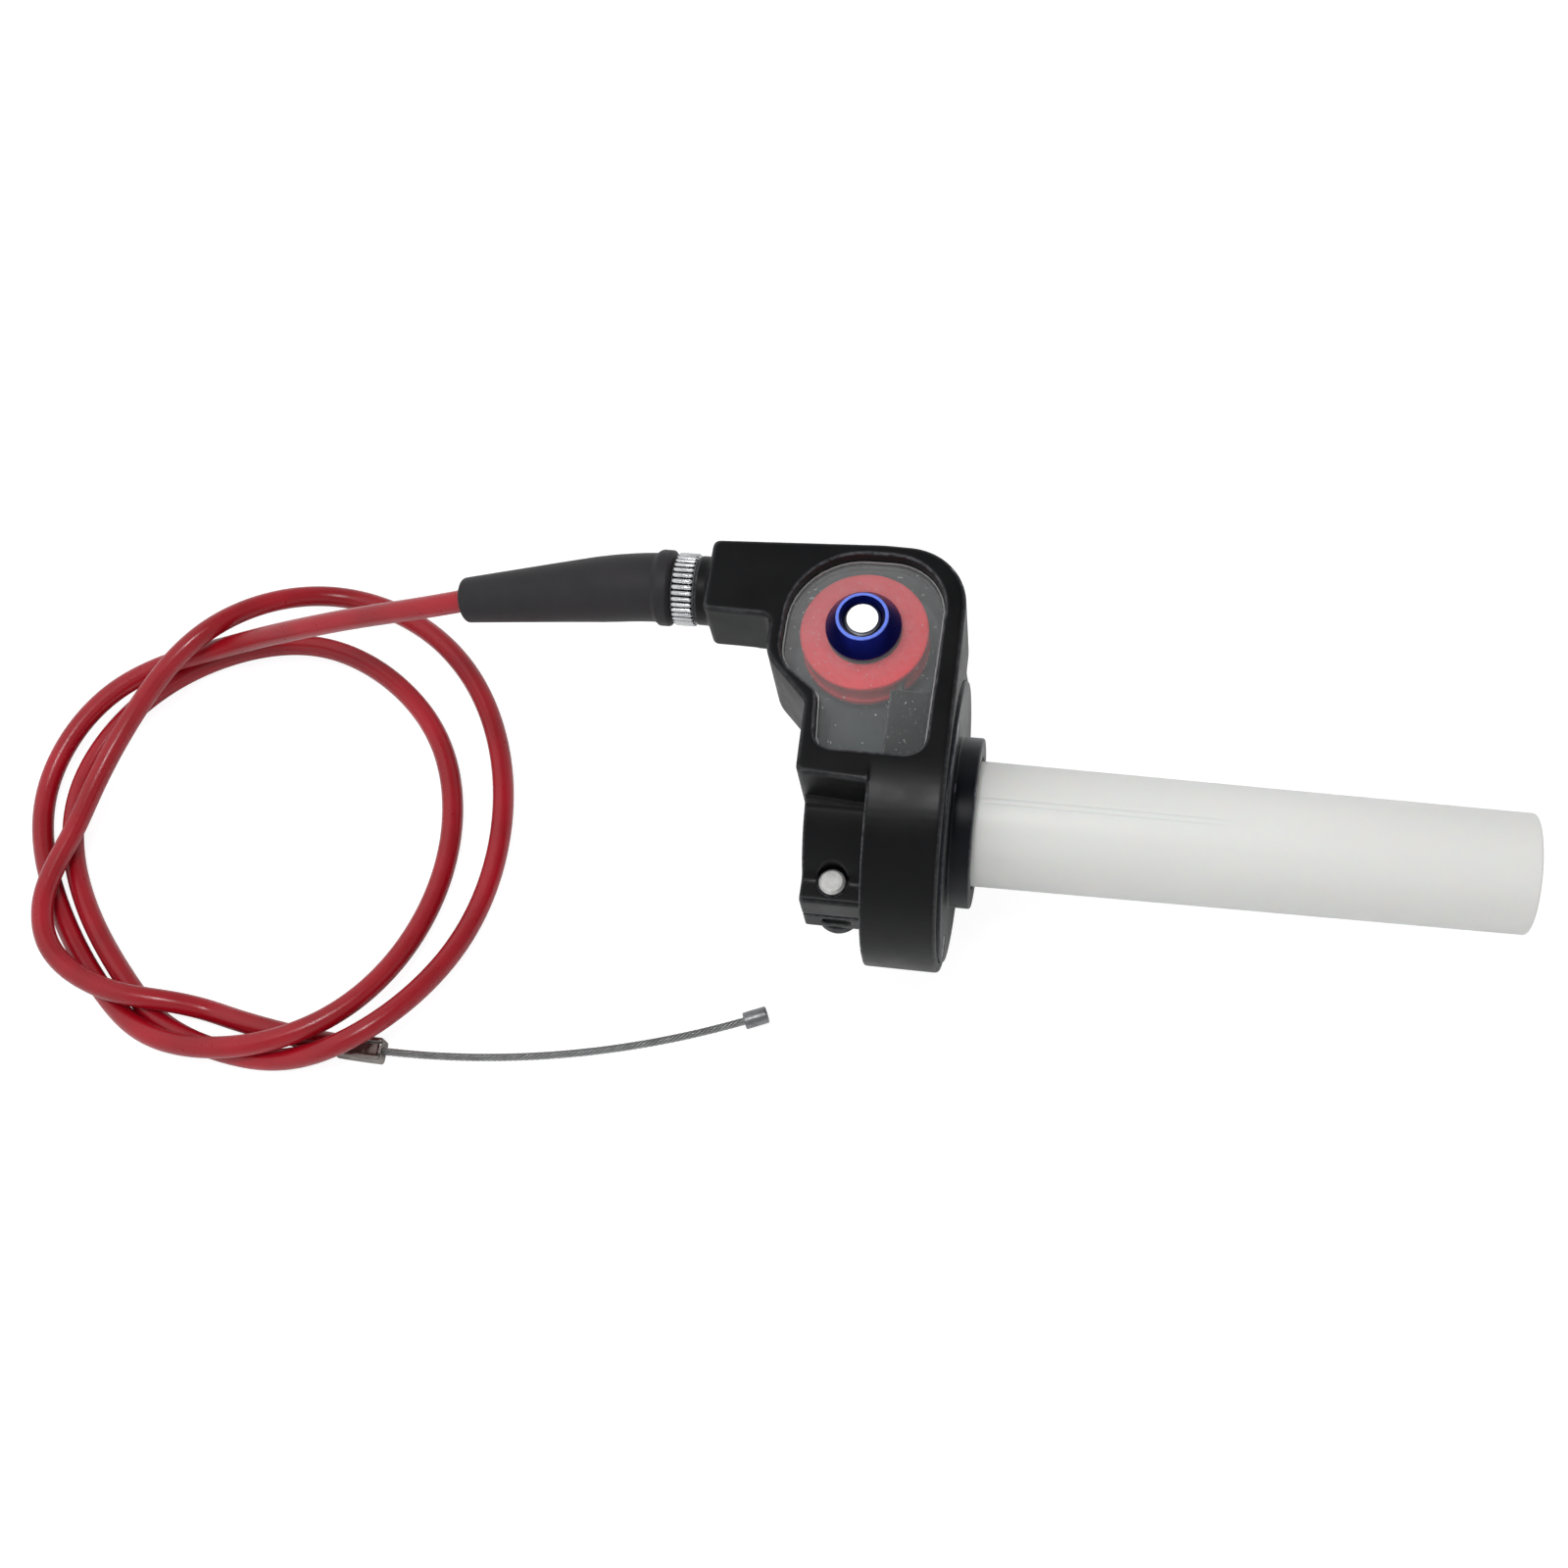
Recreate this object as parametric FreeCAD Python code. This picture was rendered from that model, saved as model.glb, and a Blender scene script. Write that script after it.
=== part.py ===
import FreeCAD, Part
import math
import os

# Motorcycle throttle grip: a twist tube turning in a clamped housing, with a
# guide pulley behind a window and a coiled Bowden cable lying on the bench.
#
# Frame, in millimetres: the origin is on the handlebar axis, in the plane of
# the drum housing's clamp side. +X runs along the bar to the open grip end,
# +Y runs forward to the pulley tower, +Z is up, square to the window.

Vector = FreeCAD.Vector
X_AXIS = Vector(1, 0, 0)
Y_AXIS = Vector(0, 1, 0)
Z_AXIS = Vector(0, 0, 1)

# ---- handlebar and running fits -------------------------------------------
BAR_R = 11.1
FIT_GAP = 0.05
END_PLAY = 0.1
THREAD_GAP = 0.03

# ---- drum housing ------------------------------------------------------------
DRUM_CASE_R = 33.9
DRUM_CASE_LENGTH = 16.4
RIM_BEVEL = 0.5
END_WALL = 1.4
CHAMBER_R = 27.6
COVER_R = 31.45
COVER_FACE_X = 17.2
COVER_SEAT_X = 14.4
COLLAR_R = 19.1
COLLAR_END_X = 21.9
COLLAR_GAP_R = 14.9
COLLAR_GAP_X = 19.0
COVER_SCREW_CIRCLE = 28.2
COVER_SCREW_ANGLES = (70, 190, 310)
COVER_SCREW_R = 1.5
COVER_SCREW_HEAD_R = 2.7
COVER_SCREW_TIP_X = 8.0
COVER_SCREW_SINK = 0.1
COVER_SCREW_CONE_DEPTH = 1.5
COVER_SCREW_EDGE = 0.2
SCREW_SLOT_HALF_WIDTH = 0.3
SCREW_SLOT_HALF_LENGTH = 1.6
SCREW_SLOT_DEPTH = 0.9
COVER_EDGE = 0.3
COLLAR_EDGE = 0.4
COVER_BOSS_R = 3.1
COVER_BOSS_X = 6.6

# ---- pulley tower and arm ----------------------------------------------------
FRONT_Z = DRUM_CASE_R
TOWER_REAR_Z = 9.0
CHAMBER_FLOOR_Z = 18.0
ARM_REAR_Z = 16.9
ARM_END_X = -41.0
NECK_R = 7.75
NECK_END_X = -43.9
OUTER_EDGE_ROUND = 0.9
WIRE_TUNNEL_R = 1.2
SHELF_X = 1.7
SHELF_Y = 18.0
SHELF_Z = 28.3
PULLEY_ROOM_R = 15.0

# ---- clamp ---------------------------------------------------------------------
CLAMP_LENGTH = 14.3
BAR_WAY_IN = 6.0                    # the bar's path is clear this far in front of the clamp
CLAMP_R = 21.5
CLAMP_STEP_R = 22.1
CLAMP_STEP_Y = -7.0
EAR_Y = 25.2
EAR_FRONT_Z = 9.0
EAR_REAR_Z = -7.1
EAR_EDGE_ROUND = 1.1
EAR_INNER_ROUND = 2.0
SPLIT_HALF_GAP = 0.5
CLAMP_BOLT_X = -7.4
CLAMP_BOLT_Y = 20.5
CLAMP_BOLT_R = 2.9
CLAMP_BOLT_HOLE_R = 3.2
CLAMP_BOLT_HEAD_R = 5.0
CLAMP_BOLT_HEAD_HEIGHT = 6.0
CLAMP_BOLT_HEAD_GAP = 0.4
CLAMP_BOLT_CHAMFER = 0.6
CLAMP_BOLT_TIP_Z = 10.4
CLAMP_BLIND_TIP_Z = 6.0
SPOT_FACE_R = 3.6
CAP_POCKET_R = 1.5
CAP_POCKET_Z = -3.4
CAP_POCKET_DEPTH = 1.0
CAP_POCKET_ENDS = (-8.7, -5.1)

# ---- pulley, its axle and the window -----------------------------------------
PULLEY_X = -5.5
PULLEY_Y = 31.0
PULLEY_R = 14.13
PULLEY_REAR_Z = 20.9
PULLEY_FRONT_Z = 29.0
WIRE_Z = 25.0
PULLEY_WIRE_R = 9.0
PULLEY_EDGE = 0.5
GROOVE_HALF_WIDTH = 2.3
GROOVE_ROOT_HALF_WIDTH = 0.95
GROOVE_ROOT_STEP = 1.2
AXLE_R = 4.0
AXLE_HEAD_R = 5.2
AXLE_HEAD_Z = 9.6
AXLE_SEAT_Z = 14.0
AXLE_TIP_Z = 34.9
AXLE_TIP_R = 3.7
AXLE_TIP_EDGE = 0.4
AXLE_HEAD_EDGE = 0.5
SLEEVE_R = 6.0
SLEEVE_REAR_Z = 19.6
SLEEVE_FRONT_Z = 29.5
SLEEVE_BOSS_R = 6.8
WASHER_R = 8.2
AXLE_HEAD_GAP = 0.3
HEX_CORNER_R = 2.9
AXLE_HEX_DEPTH = 2.6
CLAMP_HEX_DEPTH = 3.0
PANE_REAR_Z = 29.6
PANE_FRONT_Z = 31.1
PANE_LEDGE = 1.0
PANE_EDGE_GAP = 0.12
PANE_HOLE_R = 5.2
NUT_BASE_R = 8.28
NUT_TOP_R = 5.67
NUT_TOP_Z = 35.9
NUT_FOOT = 0.5
NUT_EDGE = 0.2
NUT_RIM = 0.6

# ---- twist tube and drum -------------------------------------------------------
TUBE_BORE_R = 11.4
TUBE_R = 14.0
TUBE_END_R = 13.1
TUBE_INNER_X = 2.3
TUBE_END_X = 140.0
TUBE_FLANGE_R = 20.0
TUBE_FLANGE_X = 8.2
TUBE_FLANGE_END_X = 10.2
KEY_R = 16.0
KEY_WIDTH = 4.0
TUBE_END_EDGE = 0.6
RIB_START_X = 22.3
RIB_END_X = 78.0
RIB_HALF_WIDTH = 0.7
RIB_HEIGHT = 0.35
DRUM_R = 27.0
DRUM_REAR_X = 1.8
DRUM_DISC_X = 5.2
DRUM_WIRE_R = 25.0
DRUM_HUB_R = 19.0
NIPPLE_R = 2.3
NIPPLE_CIRCLE = 24.0
NIPPLE_ANGLE = 20.0
NIPPLE_POCKET_X = 2.2

# ---- cable -----------------------------------------------------------------------
WIRE_R = 0.9
LINER_R = 1.3
LINER_BORE_R = 1.05
CONDUIT_R = 2.0
CONDUIT_BORE_R = 1.35
JACKET_R = 2.6
JACKET_BORE_R = 2.05
BENCH_Z = -DRUM_CASE_R
STRAND_Z = BENCH_Z + JACKET_R
ADJUSTER_Y = PULLEY_Y + PULLEY_WIRE_R
DRUM_WIRE_X = PULLEY_X + PULLEY_WIRE_R

# ---- adjuster, ferrule and boot --------------------------------------------------
KNURL_R = 8.17
KNURL_X = -44.1
KNURL_END_X = -48.5
KNURL_RIBS = 36
KNURL_RIB_R = 0.55
KNURL_ROOT_DEPTH = 0.33
KNURL_RIB_END_GAP = 0.4
ADJUSTER_SHANK_R = 4.0
ADJUSTER_SHANK_X = -29.0
WIRE_BORE_R = 1.3
FERRULE_R = 3.5
FERRULE_SEAT_X = -45.5
FERRULE_END_X = -56.5
JACKET_SEAT_X = -50.5
STRAIGHT_STEP = 2.5
BOOT_X = -48.9

# ---- the cable's last stretch lies on one flat arc, so that the wire can slide in it
TAIL_CENTRE = Vector(-112.0, 156.0, STRAND_Z)
TAIL_R = 215.0
TAIL_STEP = 1.4
TAIL_JACKET_START = -102.2
TAIL_WIRE_HIDDEN_END = -101.6
TAIL_WIRE_START = -93.3
TAIL_FERRULE_START = -93.4
TAIL_JACKET_END = -93.1
PATH_EDGES = 14
TAIL_FERRULE_END = -90.3
TAIL_NIPPLE_START = -67.2
TAIL_NIPPLE_END = -65.7
CARB_NIPPLE_R = 2.0
CRIMP_HALF_WIDTH = 2.3
CRIMP_HALF_HEIGHT = 2.55
CRIMP_SOCKET_ANGLE = 0.35
CRIMP_SEGMENTS = ((0.0, 0.3, 0.7), (0.3, 0.7, -0.2), (0.7, 0.9, 0.4))
NIPPLE_SOCKET_ANGLE = 0.5

# ---- the loose coil, as (angle, radius, height above the lowest lie), strand by strand
COIL_X = -155.0
COIL_Y = -2.0
COIL_LIE = (
    (60, 46, 33), (90, 40.5, 20.5), (120, 46.5, 7.5), (150, 56, 4), (180, 61, 0.3),
    (210, 57.5, 0), (240, 59.4, 0.3), (255, 62, 3.6), (270, 62.3, 5.8), (300, 59, 5.8),
    (330, 51, 1), (360, 46.5, 0), (390, 45, 0), (420, 45, 0), (450, 47, 0),
    (480, 48, 0), (510, 50.5, 0), (540, 52.5, 0), (570, 51, 0), (600, 53.5, 0),
    (615, 57.8, 0), (630, 61, 0), (645, 64.5, 1.5), (660, 66.5, 6.2), (690, 62, 1),
    (720, 59, 0), (750, 59, 0), (780, 61, 0), (810, 61, 1.5), (840, 48.5, 13.5),
    (870, 44, 9.5), (900, 45.8, 6), (915, 49.5, 6), (930, 58, 6), (942, 61.5, 6),
    (954, 60, 6), (966, 56.5, 5.7), (979, 52.6, 2.6),
)


def cylinder_x(radius, start_x, end_x, y=0.0, z=0.0):
    low = min(start_x, end_x)
    return Part.makeCylinder(radius, abs(end_x - start_x), Vector(low, y, z), X_AXIS)


def cylinder_z(radius, start_z, end_z, x=0.0, y=0.0):
    low = min(start_z, end_z)
    return Part.makeCylinder(radius, abs(end_z - start_z), Vector(x, y, low), Z_AXIS)


def box(low, high):
    size = [b - a for a, b in zip(low, high)]
    return Part.makeBox(size[0], size[1], size[2], Vector(*low))


def revolve_x(profile, y=0.0, z=0.0):
    """Turn an (x, radius) outline about the line through (y, z) along X."""
    points = [Vector(x, y, z + radius) for x, radius in profile]
    face = Part.Face(Part.makePolygon(points + points[:1]))
    return face.revolve(Vector(0, y, z), X_AXIS, 360)


def revolve_z(profile, x=0.0, y=0.0):
    """Turn a (radius, z) outline about the line through (x, y) along Z."""
    points = [Vector(x + radius, y, z) for radius, z in profile]
    face = Part.Face(Part.makePolygon(points + points[:1]))
    return face.revolve(Vector(x, y, 0), Z_AXIS, 360)


def rounded_face(corners):
    """A flat face at z = 0 from (x, y, corner radius), going round once."""
    edges = []
    starts = []
    ends = []
    for i, (x, y, radius) in enumerate(corners):
        here = Vector(x, y, 0)
        back = Vector(*corners[i - 1][:2], 0).sub(here).normalize()
        ahead = Vector(*corners[(i + 1) % len(corners)][:2], 0).sub(here).normalize()
        half = back.getAngle(ahead) / 2
        cut = radius / math.tan(half) if radius else 0.0
        start = here + back * cut
        end = here + ahead * cut
        if radius:
            middle_way = (back + ahead).normalize()
            centre = here + middle_way * (radius / math.sin(half))
            edges.append((i, Part.Arc(start, centre - middle_way * radius, end).toShape()))
        starts.append(start)
        ends.append(end)
    arcs = dict(edges)
    outline = []
    for i in range(len(corners)):
        if i in arcs:
            outline.append(arcs[i])
        outline.append(Part.makeLine(ends[i], starts[(i + 1) % len(corners)]))
    return Part.Face(Part.Wire(outline))


def prism(face, low_z, high_z):
    placed = face.copy()
    placed.translate(Vector(0, 0, low_z))
    return placed.extrude(Vector(0, 0, high_z - low_z))


def around_x(angle, radius, x):
    """A point at an angle from +Y towards +Z, at a radius from the bar axis."""
    turn = math.radians(angle)
    return Vector(x, radius * math.cos(turn), radius * math.sin(turn))


def round_edges(solid, radius, wanted):
    edges = [edge for edge in solid.Edges if wanted(edge)]
    return solid.makeFillet(radius, edges)


# ---- outlines in the window's plane ------------------------------------------------
WINDOW_OUTLINE = (
    (-12.3, 0.6, 4.0),
    (11.2, 0.6, 4.5),
    (12.1, 47.4, 12.6),
    (-22.7, 47.4, 16.6),
    (-22.7, 20.5, 9.0),
    (-13.3, 13.6, 2.5),
)
TOWER_RIGHT_AND_TOP = (
    (-15.3, -5.4, 1.8),
    (0.0, -6.2, 0),
    (0.0, 0.0, 0),
    (DRUM_CASE_LENGTH, 0.0, 0),
    (16.2, 49.6, 13.8),
    (-3.0, 50.15, 40.0),
)
TOWER_LEFT = (
    (-25.7, 21.5, 8.0),
    (-15.6, 11.2, 2.5),
)
TOWER_CORNER = ((-25.7, 49.2, 14.0),)
ARM_OUTLINE = (
    (ARM_END_X, 48.4, 1.5),
    (ARM_END_X, 31.0, 1.5),
    (-25.7, 30.6, 2.0),
)


def tower_block():
    lower_outline = rounded_face(TOWER_RIGHT_AND_TOP + TOWER_CORNER + TOWER_LEFT)
    upper_outline = rounded_face(TOWER_RIGHT_AND_TOP + ARM_OUTLINE + TOWER_LEFT)
    lower = prism(lower_outline, TOWER_REAR_Z, ARM_REAR_Z)
    upper = prism(upper_outline, ARM_REAR_Z, FRONT_Z)

    def front_outer_edge(edge):
        edge_box = edge.BoundBox
        at_front = edge_box.ZMin > FRONT_Z - 0.01
        over_drum = edge_box.XMin > -0.1 and edge_box.YMax < 0.1
        return at_front and not over_drum

    return round_edges(upper, OUTER_EDGE_ROUND, front_outer_edge).fuse(lower)


def clamp_block():
    """The upper half of the clamp, with both ears, above the split plane."""
    ring = cylinder_x(CLAMP_R, -CLAMP_LENGTH, 0)
    ears = box((-CLAMP_LENGTH, -EAR_Y, 0), (0, EAR_Y, EAR_FRONT_Z))
    step_side = box((-CLAMP_LENGTH, CLAMP_STEP_Y, 0), (0, EAR_Y, CLAMP_STEP_R))
    step = cylinder_x(CLAMP_STEP_R, -CLAMP_LENGTH, 0).common(step_side)
    above_split = box((-CLAMP_LENGTH, -EAR_Y, SPLIT_HALF_GAP), (0, EAR_Y, CLAMP_STEP_R + 1))
    block = ring.fuse(ears).common(above_split)

    def along_bar(edge, y, z):
        edge_box = edge.BoundBox
        centre_y = (edge_box.YMin + edge_box.YMax) / 2
        centre_z = (edge_box.ZMin + edge_box.ZMax) / 2
        full_length = edge_box.XLength > CLAMP_LENGTH - 0.1
        return full_length and abs(abs(centre_y) - y) < 0.05 and abs(centre_z - z) < 0.05

    inner_y = math.sqrt(CLAMP_R ** 2 - EAR_FRONT_Z ** 2)
    block = round_edges(block, EAR_INNER_ROUND, lambda edge: along_bar(edge, inner_y, EAR_FRONT_Z))
    block = round_edges(block, EAR_EDGE_ROUND, lambda edge: along_bar(edge, EAR_Y, EAR_FRONT_Z))
    return block.fuse(step)


def window_pocket():
    """The recess for the pane, and the chamber behind it that the pulley turns in."""
    outline = rounded_face(WINDOW_OUTLINE)
    recess = prism(outline, PANE_REAR_Z, FRONT_Z + 1)
    inner = outline.makeOffset2D(-PANE_LEDGE)
    chamber = prism(inner, CHAMBER_FLOOR_Z, PANE_REAR_Z)
    shelf = box((SHELF_X, -1, CHAMBER_FLOOR_Z - 1), (DRUM_CASE_LENGTH, SHELF_Y, SHELF_Z))
    pulley_room = cylinder_z(PULLEY_ROOM_R, CHAMBER_FLOOR_Z, PANE_REAR_Z, PULLEY_X, PULLEY_Y)
    boss = cylinder_z(SLEEVE_BOSS_R, CHAMBER_FLOOR_Z - 1, SLEEVE_REAR_Z, PULLEY_X, PULLEY_Y)
    return recess.fuse(chamber.cut(shelf).fuse(pulley_room).cut(boss))


def cover_screw_places(x):
    return [around_x(angle, COVER_SCREW_CIRCLE, x) for angle in COVER_SCREW_ANGLES]


def housing_body():
    case = revolve_x((
        (0, 0),
        (0, DRUM_CASE_R),
        (DRUM_CASE_LENGTH - RIM_BEVEL, DRUM_CASE_R),
        (DRUM_CASE_LENGTH, DRUM_CASE_R - RIM_BEVEL),
        (DRUM_CASE_LENGTH, 0),
    ))
    neck = cylinder_x(NECK_R, ARM_END_X + 2, NECK_END_X, ADJUSTER_Y, WIRE_Z)
    body = case.fuse([tower_block(), clamp_block(), neck])
    chamber = cylinder_x(CHAMBER_R, END_WALL, DRUM_CASE_LENGTH + 1)
    for place in cover_screw_places(COVER_BOSS_X):
        chamber = chamber.cut(cylinder_x(COVER_BOSS_R, COVER_BOSS_X, COVER_SEAT_X, place.y, place.z))
    rebate = cylinder_x(COVER_R + FIT_GAP, COVER_SEAT_X, COVER_FACE_X + 1)
    wire_tunnel = Part.makeCylinder(WIRE_TUNNEL_R, PULLEY_Y, Vector(DRUM_WIRE_X, 0, WIRE_Z), Y_AXIS)
    arm_tunnel = cylinder_x(WIRE_TUNNEL_R, PULLEY_X, NECK_END_X - 1, ADJUSTER_Y, WIRE_Z)
    adjuster_hole = cylinder_x(ADJUSTER_SHANK_R + FIT_GAP, ADJUSTER_SHANK_X + 1, NECK_END_X - 1,
                               ADJUSTER_Y, WIRE_Z)
    cuts = [
        cylinder_x(BAR_R, -CLAMP_LENGTH - BAR_WAY_IN, END_WALL + 1),
        chamber,
        rebate,
        window_pocket(),
        wire_tunnel,
        arm_tunnel,
        adjuster_hole,
        cylinder_z(AXLE_R + FIT_GAP, TOWER_REAR_Z - 1, CHAMBER_FLOOR_Z + 3, PULLEY_X, PULLEY_Y),
        cylinder_z(AXLE_HEAD_R + AXLE_HEAD_GAP, TOWER_REAR_Z - 1, AXLE_SEAT_Z, PULLEY_X, PULLEY_Y),
        cylinder_z(CLAMP_BOLT_R + THREAD_GAP, -1, EAR_FRONT_Z + 1, CLAMP_BOLT_X, -CLAMP_BOLT_Y),
        cylinder_z(SPOT_FACE_R, EAR_FRONT_Z, CLAMP_R, CLAMP_BOLT_X, -CLAMP_BOLT_Y),
        cylinder_z(CLAMP_BOLT_R + THREAD_GAP, -1, CLAMP_BLIND_TIP_Z + 1, CLAMP_BOLT_X, CLAMP_BOLT_Y),
    ]
    for place in cover_screw_places(COVER_SCREW_TIP_X - 0.5):
        cuts.append(cylinder_x(COVER_SCREW_R + THREAD_GAP, place.x, COVER_SEAT_X + 1, place.y, place.z))
    return body.cut(cuts)


def side_cover():
    """Disc in the housing's rim, with the collar that the twist tube turns in."""
    land = TUBE_R + FIT_GAP
    disc = revolve_x((
        (COVER_SEAT_X, land),
        (COVER_SEAT_X, COVER_R),
        (COVER_FACE_X - COVER_EDGE, COVER_R),
        (COVER_FACE_X, COVER_R - COVER_EDGE),
        (COVER_FACE_X, COLLAR_R),
        (COLLAR_END_X - COLLAR_EDGE, COLLAR_R),
        (COLLAR_END_X, COLLAR_R - COLLAR_EDGE),
        (COLLAR_END_X, COLLAR_GAP_R),
        (COLLAR_GAP_X, COLLAR_GAP_R),
        (COLLAR_GAP_X, land),
    ))
    hub = revolve_x((
        (TUBE_FLANGE_END_X + END_PLAY, land),
        (TUBE_FLANGE_END_X + END_PLAY, COLLAR_R),
        (COVER_SEAT_X, COLLAR_R),
        (COVER_SEAT_X, land),
    ))
    cover = disc.fuse(hub)
    for place in cover_screw_places(COVER_SEAT_X - 1):
        cover = cover.cut(cover_screw(place, COVER_SCREW_R + 0.1, COVER_SCREW_HEAD_R + 0.1))
    return cover


def cover_screw(place, shank_r, head_r):
    face_x = COVER_FACE_X - COVER_SCREW_SINK
    return revolve_x((
        (COVER_SCREW_TIP_X, 0),
        (COVER_SCREW_TIP_X, shank_r),
        (face_x - COVER_SCREW_CONE_DEPTH, shank_r),
        (face_x - COVER_SCREW_EDGE, head_r),
        (face_x, head_r),
        (face_x, 0),
    ), place.y, place.z)


def screw_slot(place, half_y, half_z):
    top = COVER_FACE_X - COVER_SCREW_SINK
    return box((top - SCREW_SLOT_DEPTH, place.y - half_y, place.z - half_z),
               (top + 1, place.y + half_y, place.z + half_z))


def side_cover_screws():
    screws = []
    for place in cover_screw_places(COVER_FACE_X):
        screw = cover_screw(place, COVER_SCREW_R, COVER_SCREW_HEAD_R)
        slots = [screw_slot(place, SCREW_SLOT_HALF_LENGTH, SCREW_SLOT_HALF_WIDTH),
                 screw_slot(place, SCREW_SLOT_HALF_WIDTH, SCREW_SLOT_HALF_LENGTH)]
        screws.append(screw.cut(slots))
    return Part.makeCompound(screws)


def window():
    outline = rounded_face(WINDOW_OUTLINE).makeOffset2D(-PANE_EDGE_GAP)
    pane = prism(outline, PANE_REAR_Z, PANE_FRONT_Z)
    return pane.cut(cylinder_z(PANE_HOLE_R, PANE_REAR_Z - 1, PANE_FRONT_Z + 1, PULLEY_X, PULLEY_Y))


def cone_nut():
    spigot_r = PANE_HOLE_R - END_PLAY
    return revolve_z((
        (AXLE_R + THREAD_GAP, SLEEVE_FRONT_Z),
        (spigot_r, SLEEVE_FRONT_Z),
        (spigot_r, PANE_FRONT_Z),
        (NUT_BASE_R, PANE_FRONT_Z),
        (NUT_BASE_R, PANE_FRONT_Z + NUT_FOOT),
        (NUT_TOP_R, NUT_TOP_Z - NUT_EDGE),
        (NUT_TOP_R - NUT_EDGE, NUT_TOP_Z),
        (NUT_TOP_R - NUT_RIM, NUT_TOP_Z),
        (AXLE_R + THREAD_GAP, AXLE_TIP_Z - NUT_RIM),
    ), PULLEY_X, PULLEY_Y)


def pulley_axle_bolt():
    bolt = revolve_z((
        (0, AXLE_HEAD_Z),
        (AXLE_HEAD_R - AXLE_HEAD_EDGE, AXLE_HEAD_Z),
        (AXLE_HEAD_R, AXLE_HEAD_Z + AXLE_HEAD_EDGE),
        (AXLE_HEAD_R, AXLE_SEAT_Z),
        (AXLE_R, AXLE_SEAT_Z),
        (AXLE_R, AXLE_TIP_Z - AXLE_TIP_EDGE),
        (AXLE_TIP_R, AXLE_TIP_Z),
        (0, AXLE_TIP_Z),
    ), PULLEY_X, PULLEY_Y)
    return bolt.cut(hex_socket(AXLE_HEAD_Z - 1, AXLE_HEAD_Z + AXLE_HEX_DEPTH, PULLEY_X, PULLEY_Y))


def hex_socket(low_z, high_z, x, y):
    corners = []
    for i in range(6):
        turn = math.radians(60 * i)
        corners.append((x + HEX_CORNER_R * math.cos(turn), y + HEX_CORNER_R * math.sin(turn), 0))
    return prism(rounded_face(corners), low_z, high_z)


def pulley_sleeve():
    return tube_z(AXLE_R + THREAD_GAP, SLEEVE_R, SLEEVE_REAR_Z, SLEEVE_FRONT_Z)


def tube_z(inner_r, outer_r, low_z, high_z):
    outer = cylinder_z(outer_r, low_z, high_z, PULLEY_X, PULLEY_Y)
    return outer.cut(cylinder_z(inner_r, low_z - 1, high_z + 1, PULLEY_X, PULLEY_Y))


def pulley_washers():
    rear = tube_z(SLEEVE_R + FIT_GAP, WASHER_R, SLEEVE_REAR_Z, PULLEY_REAR_Z - END_PLAY)
    front = tube_z(SLEEVE_R + FIT_GAP, WASHER_R, PULLEY_FRONT_Z + END_PLAY, SLEEVE_FRONT_Z)
    return Part.makeCompound([rear, front])


def pulley():
    root_r = PULLEY_WIRE_R - WIRE_R - FIT_GAP
    root_edge_r = root_r + GROOVE_ROOT_STEP
    return revolve_z((
        (SLEEVE_R + FIT_GAP, PULLEY_REAR_Z),
        (PULLEY_R - PULLEY_EDGE, PULLEY_REAR_Z),
        (PULLEY_R, PULLEY_REAR_Z + PULLEY_EDGE),
        (PULLEY_R, WIRE_Z - GROOVE_HALF_WIDTH),
        (root_edge_r, WIRE_Z - GROOVE_ROOT_HALF_WIDTH),
        (root_r, WIRE_Z - GROOVE_ROOT_HALF_WIDTH),
        (root_r, WIRE_Z + GROOVE_ROOT_HALF_WIDTH),
        (root_edge_r, WIRE_Z + GROOVE_ROOT_HALF_WIDTH),
        (PULLEY_R, WIRE_Z + GROOVE_HALF_WIDTH),
        (PULLEY_R, PULLEY_FRONT_Z - PULLEY_EDGE),
        (PULLEY_R - PULLEY_EDGE, PULLEY_FRONT_Z),
        (SLEEVE_R + FIT_GAP, PULLEY_FRONT_Z),
    ), PULLEY_X, PULLEY_Y)


def clamp_cap():
    """The lower half of the clamp, below the split plane, held by two bolts."""
    ring = cylinder_x(CLAMP_R, -CLAMP_LENGTH, 0)
    ears = box((-CLAMP_LENGTH, -EAR_Y, EAR_REAR_Z), (0, EAR_Y, 0))
    below_split = box((-CLAMP_LENGTH, -EAR_Y, -CLAMP_R), (-END_PLAY, EAR_Y, -SPLIT_HALF_GAP))
    cap = ring.fuse(ears).common(below_split)
    cuts = [cylinder_x(BAR_R, -CLAMP_LENGTH - 1, 1)]
    for side in (-1, 1):
        y = side * CLAMP_BOLT_Y
        head_room_r = CLAMP_BOLT_HEAD_R + CLAMP_BOLT_HEAD_GAP
        cuts.append(cylinder_z(CLAMP_BOLT_HOLE_R, EAR_REAR_Z - 1, 1, CLAMP_BOLT_X, y))
        cuts.append(cylinder_z(head_room_r, -CLAMP_R - 1, EAR_REAR_Z, CLAMP_BOLT_X, y))
    for x in CAP_POCKET_ENDS:
        end = Vector(x, -EAR_Y, CAP_POCKET_Z)
        cuts.append(Part.makeCylinder(CAP_POCKET_R, CAP_POCKET_DEPTH, end, Y_AXIS))
    cuts.append(box((CAP_POCKET_ENDS[0], -EAR_Y, CAP_POCKET_Z - CAP_POCKET_R),
                    (CAP_POCKET_ENDS[1], CAP_POCKET_DEPTH - EAR_Y, CAP_POCKET_Z + CAP_POCKET_R)))
    return cap.cut(cuts)


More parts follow.
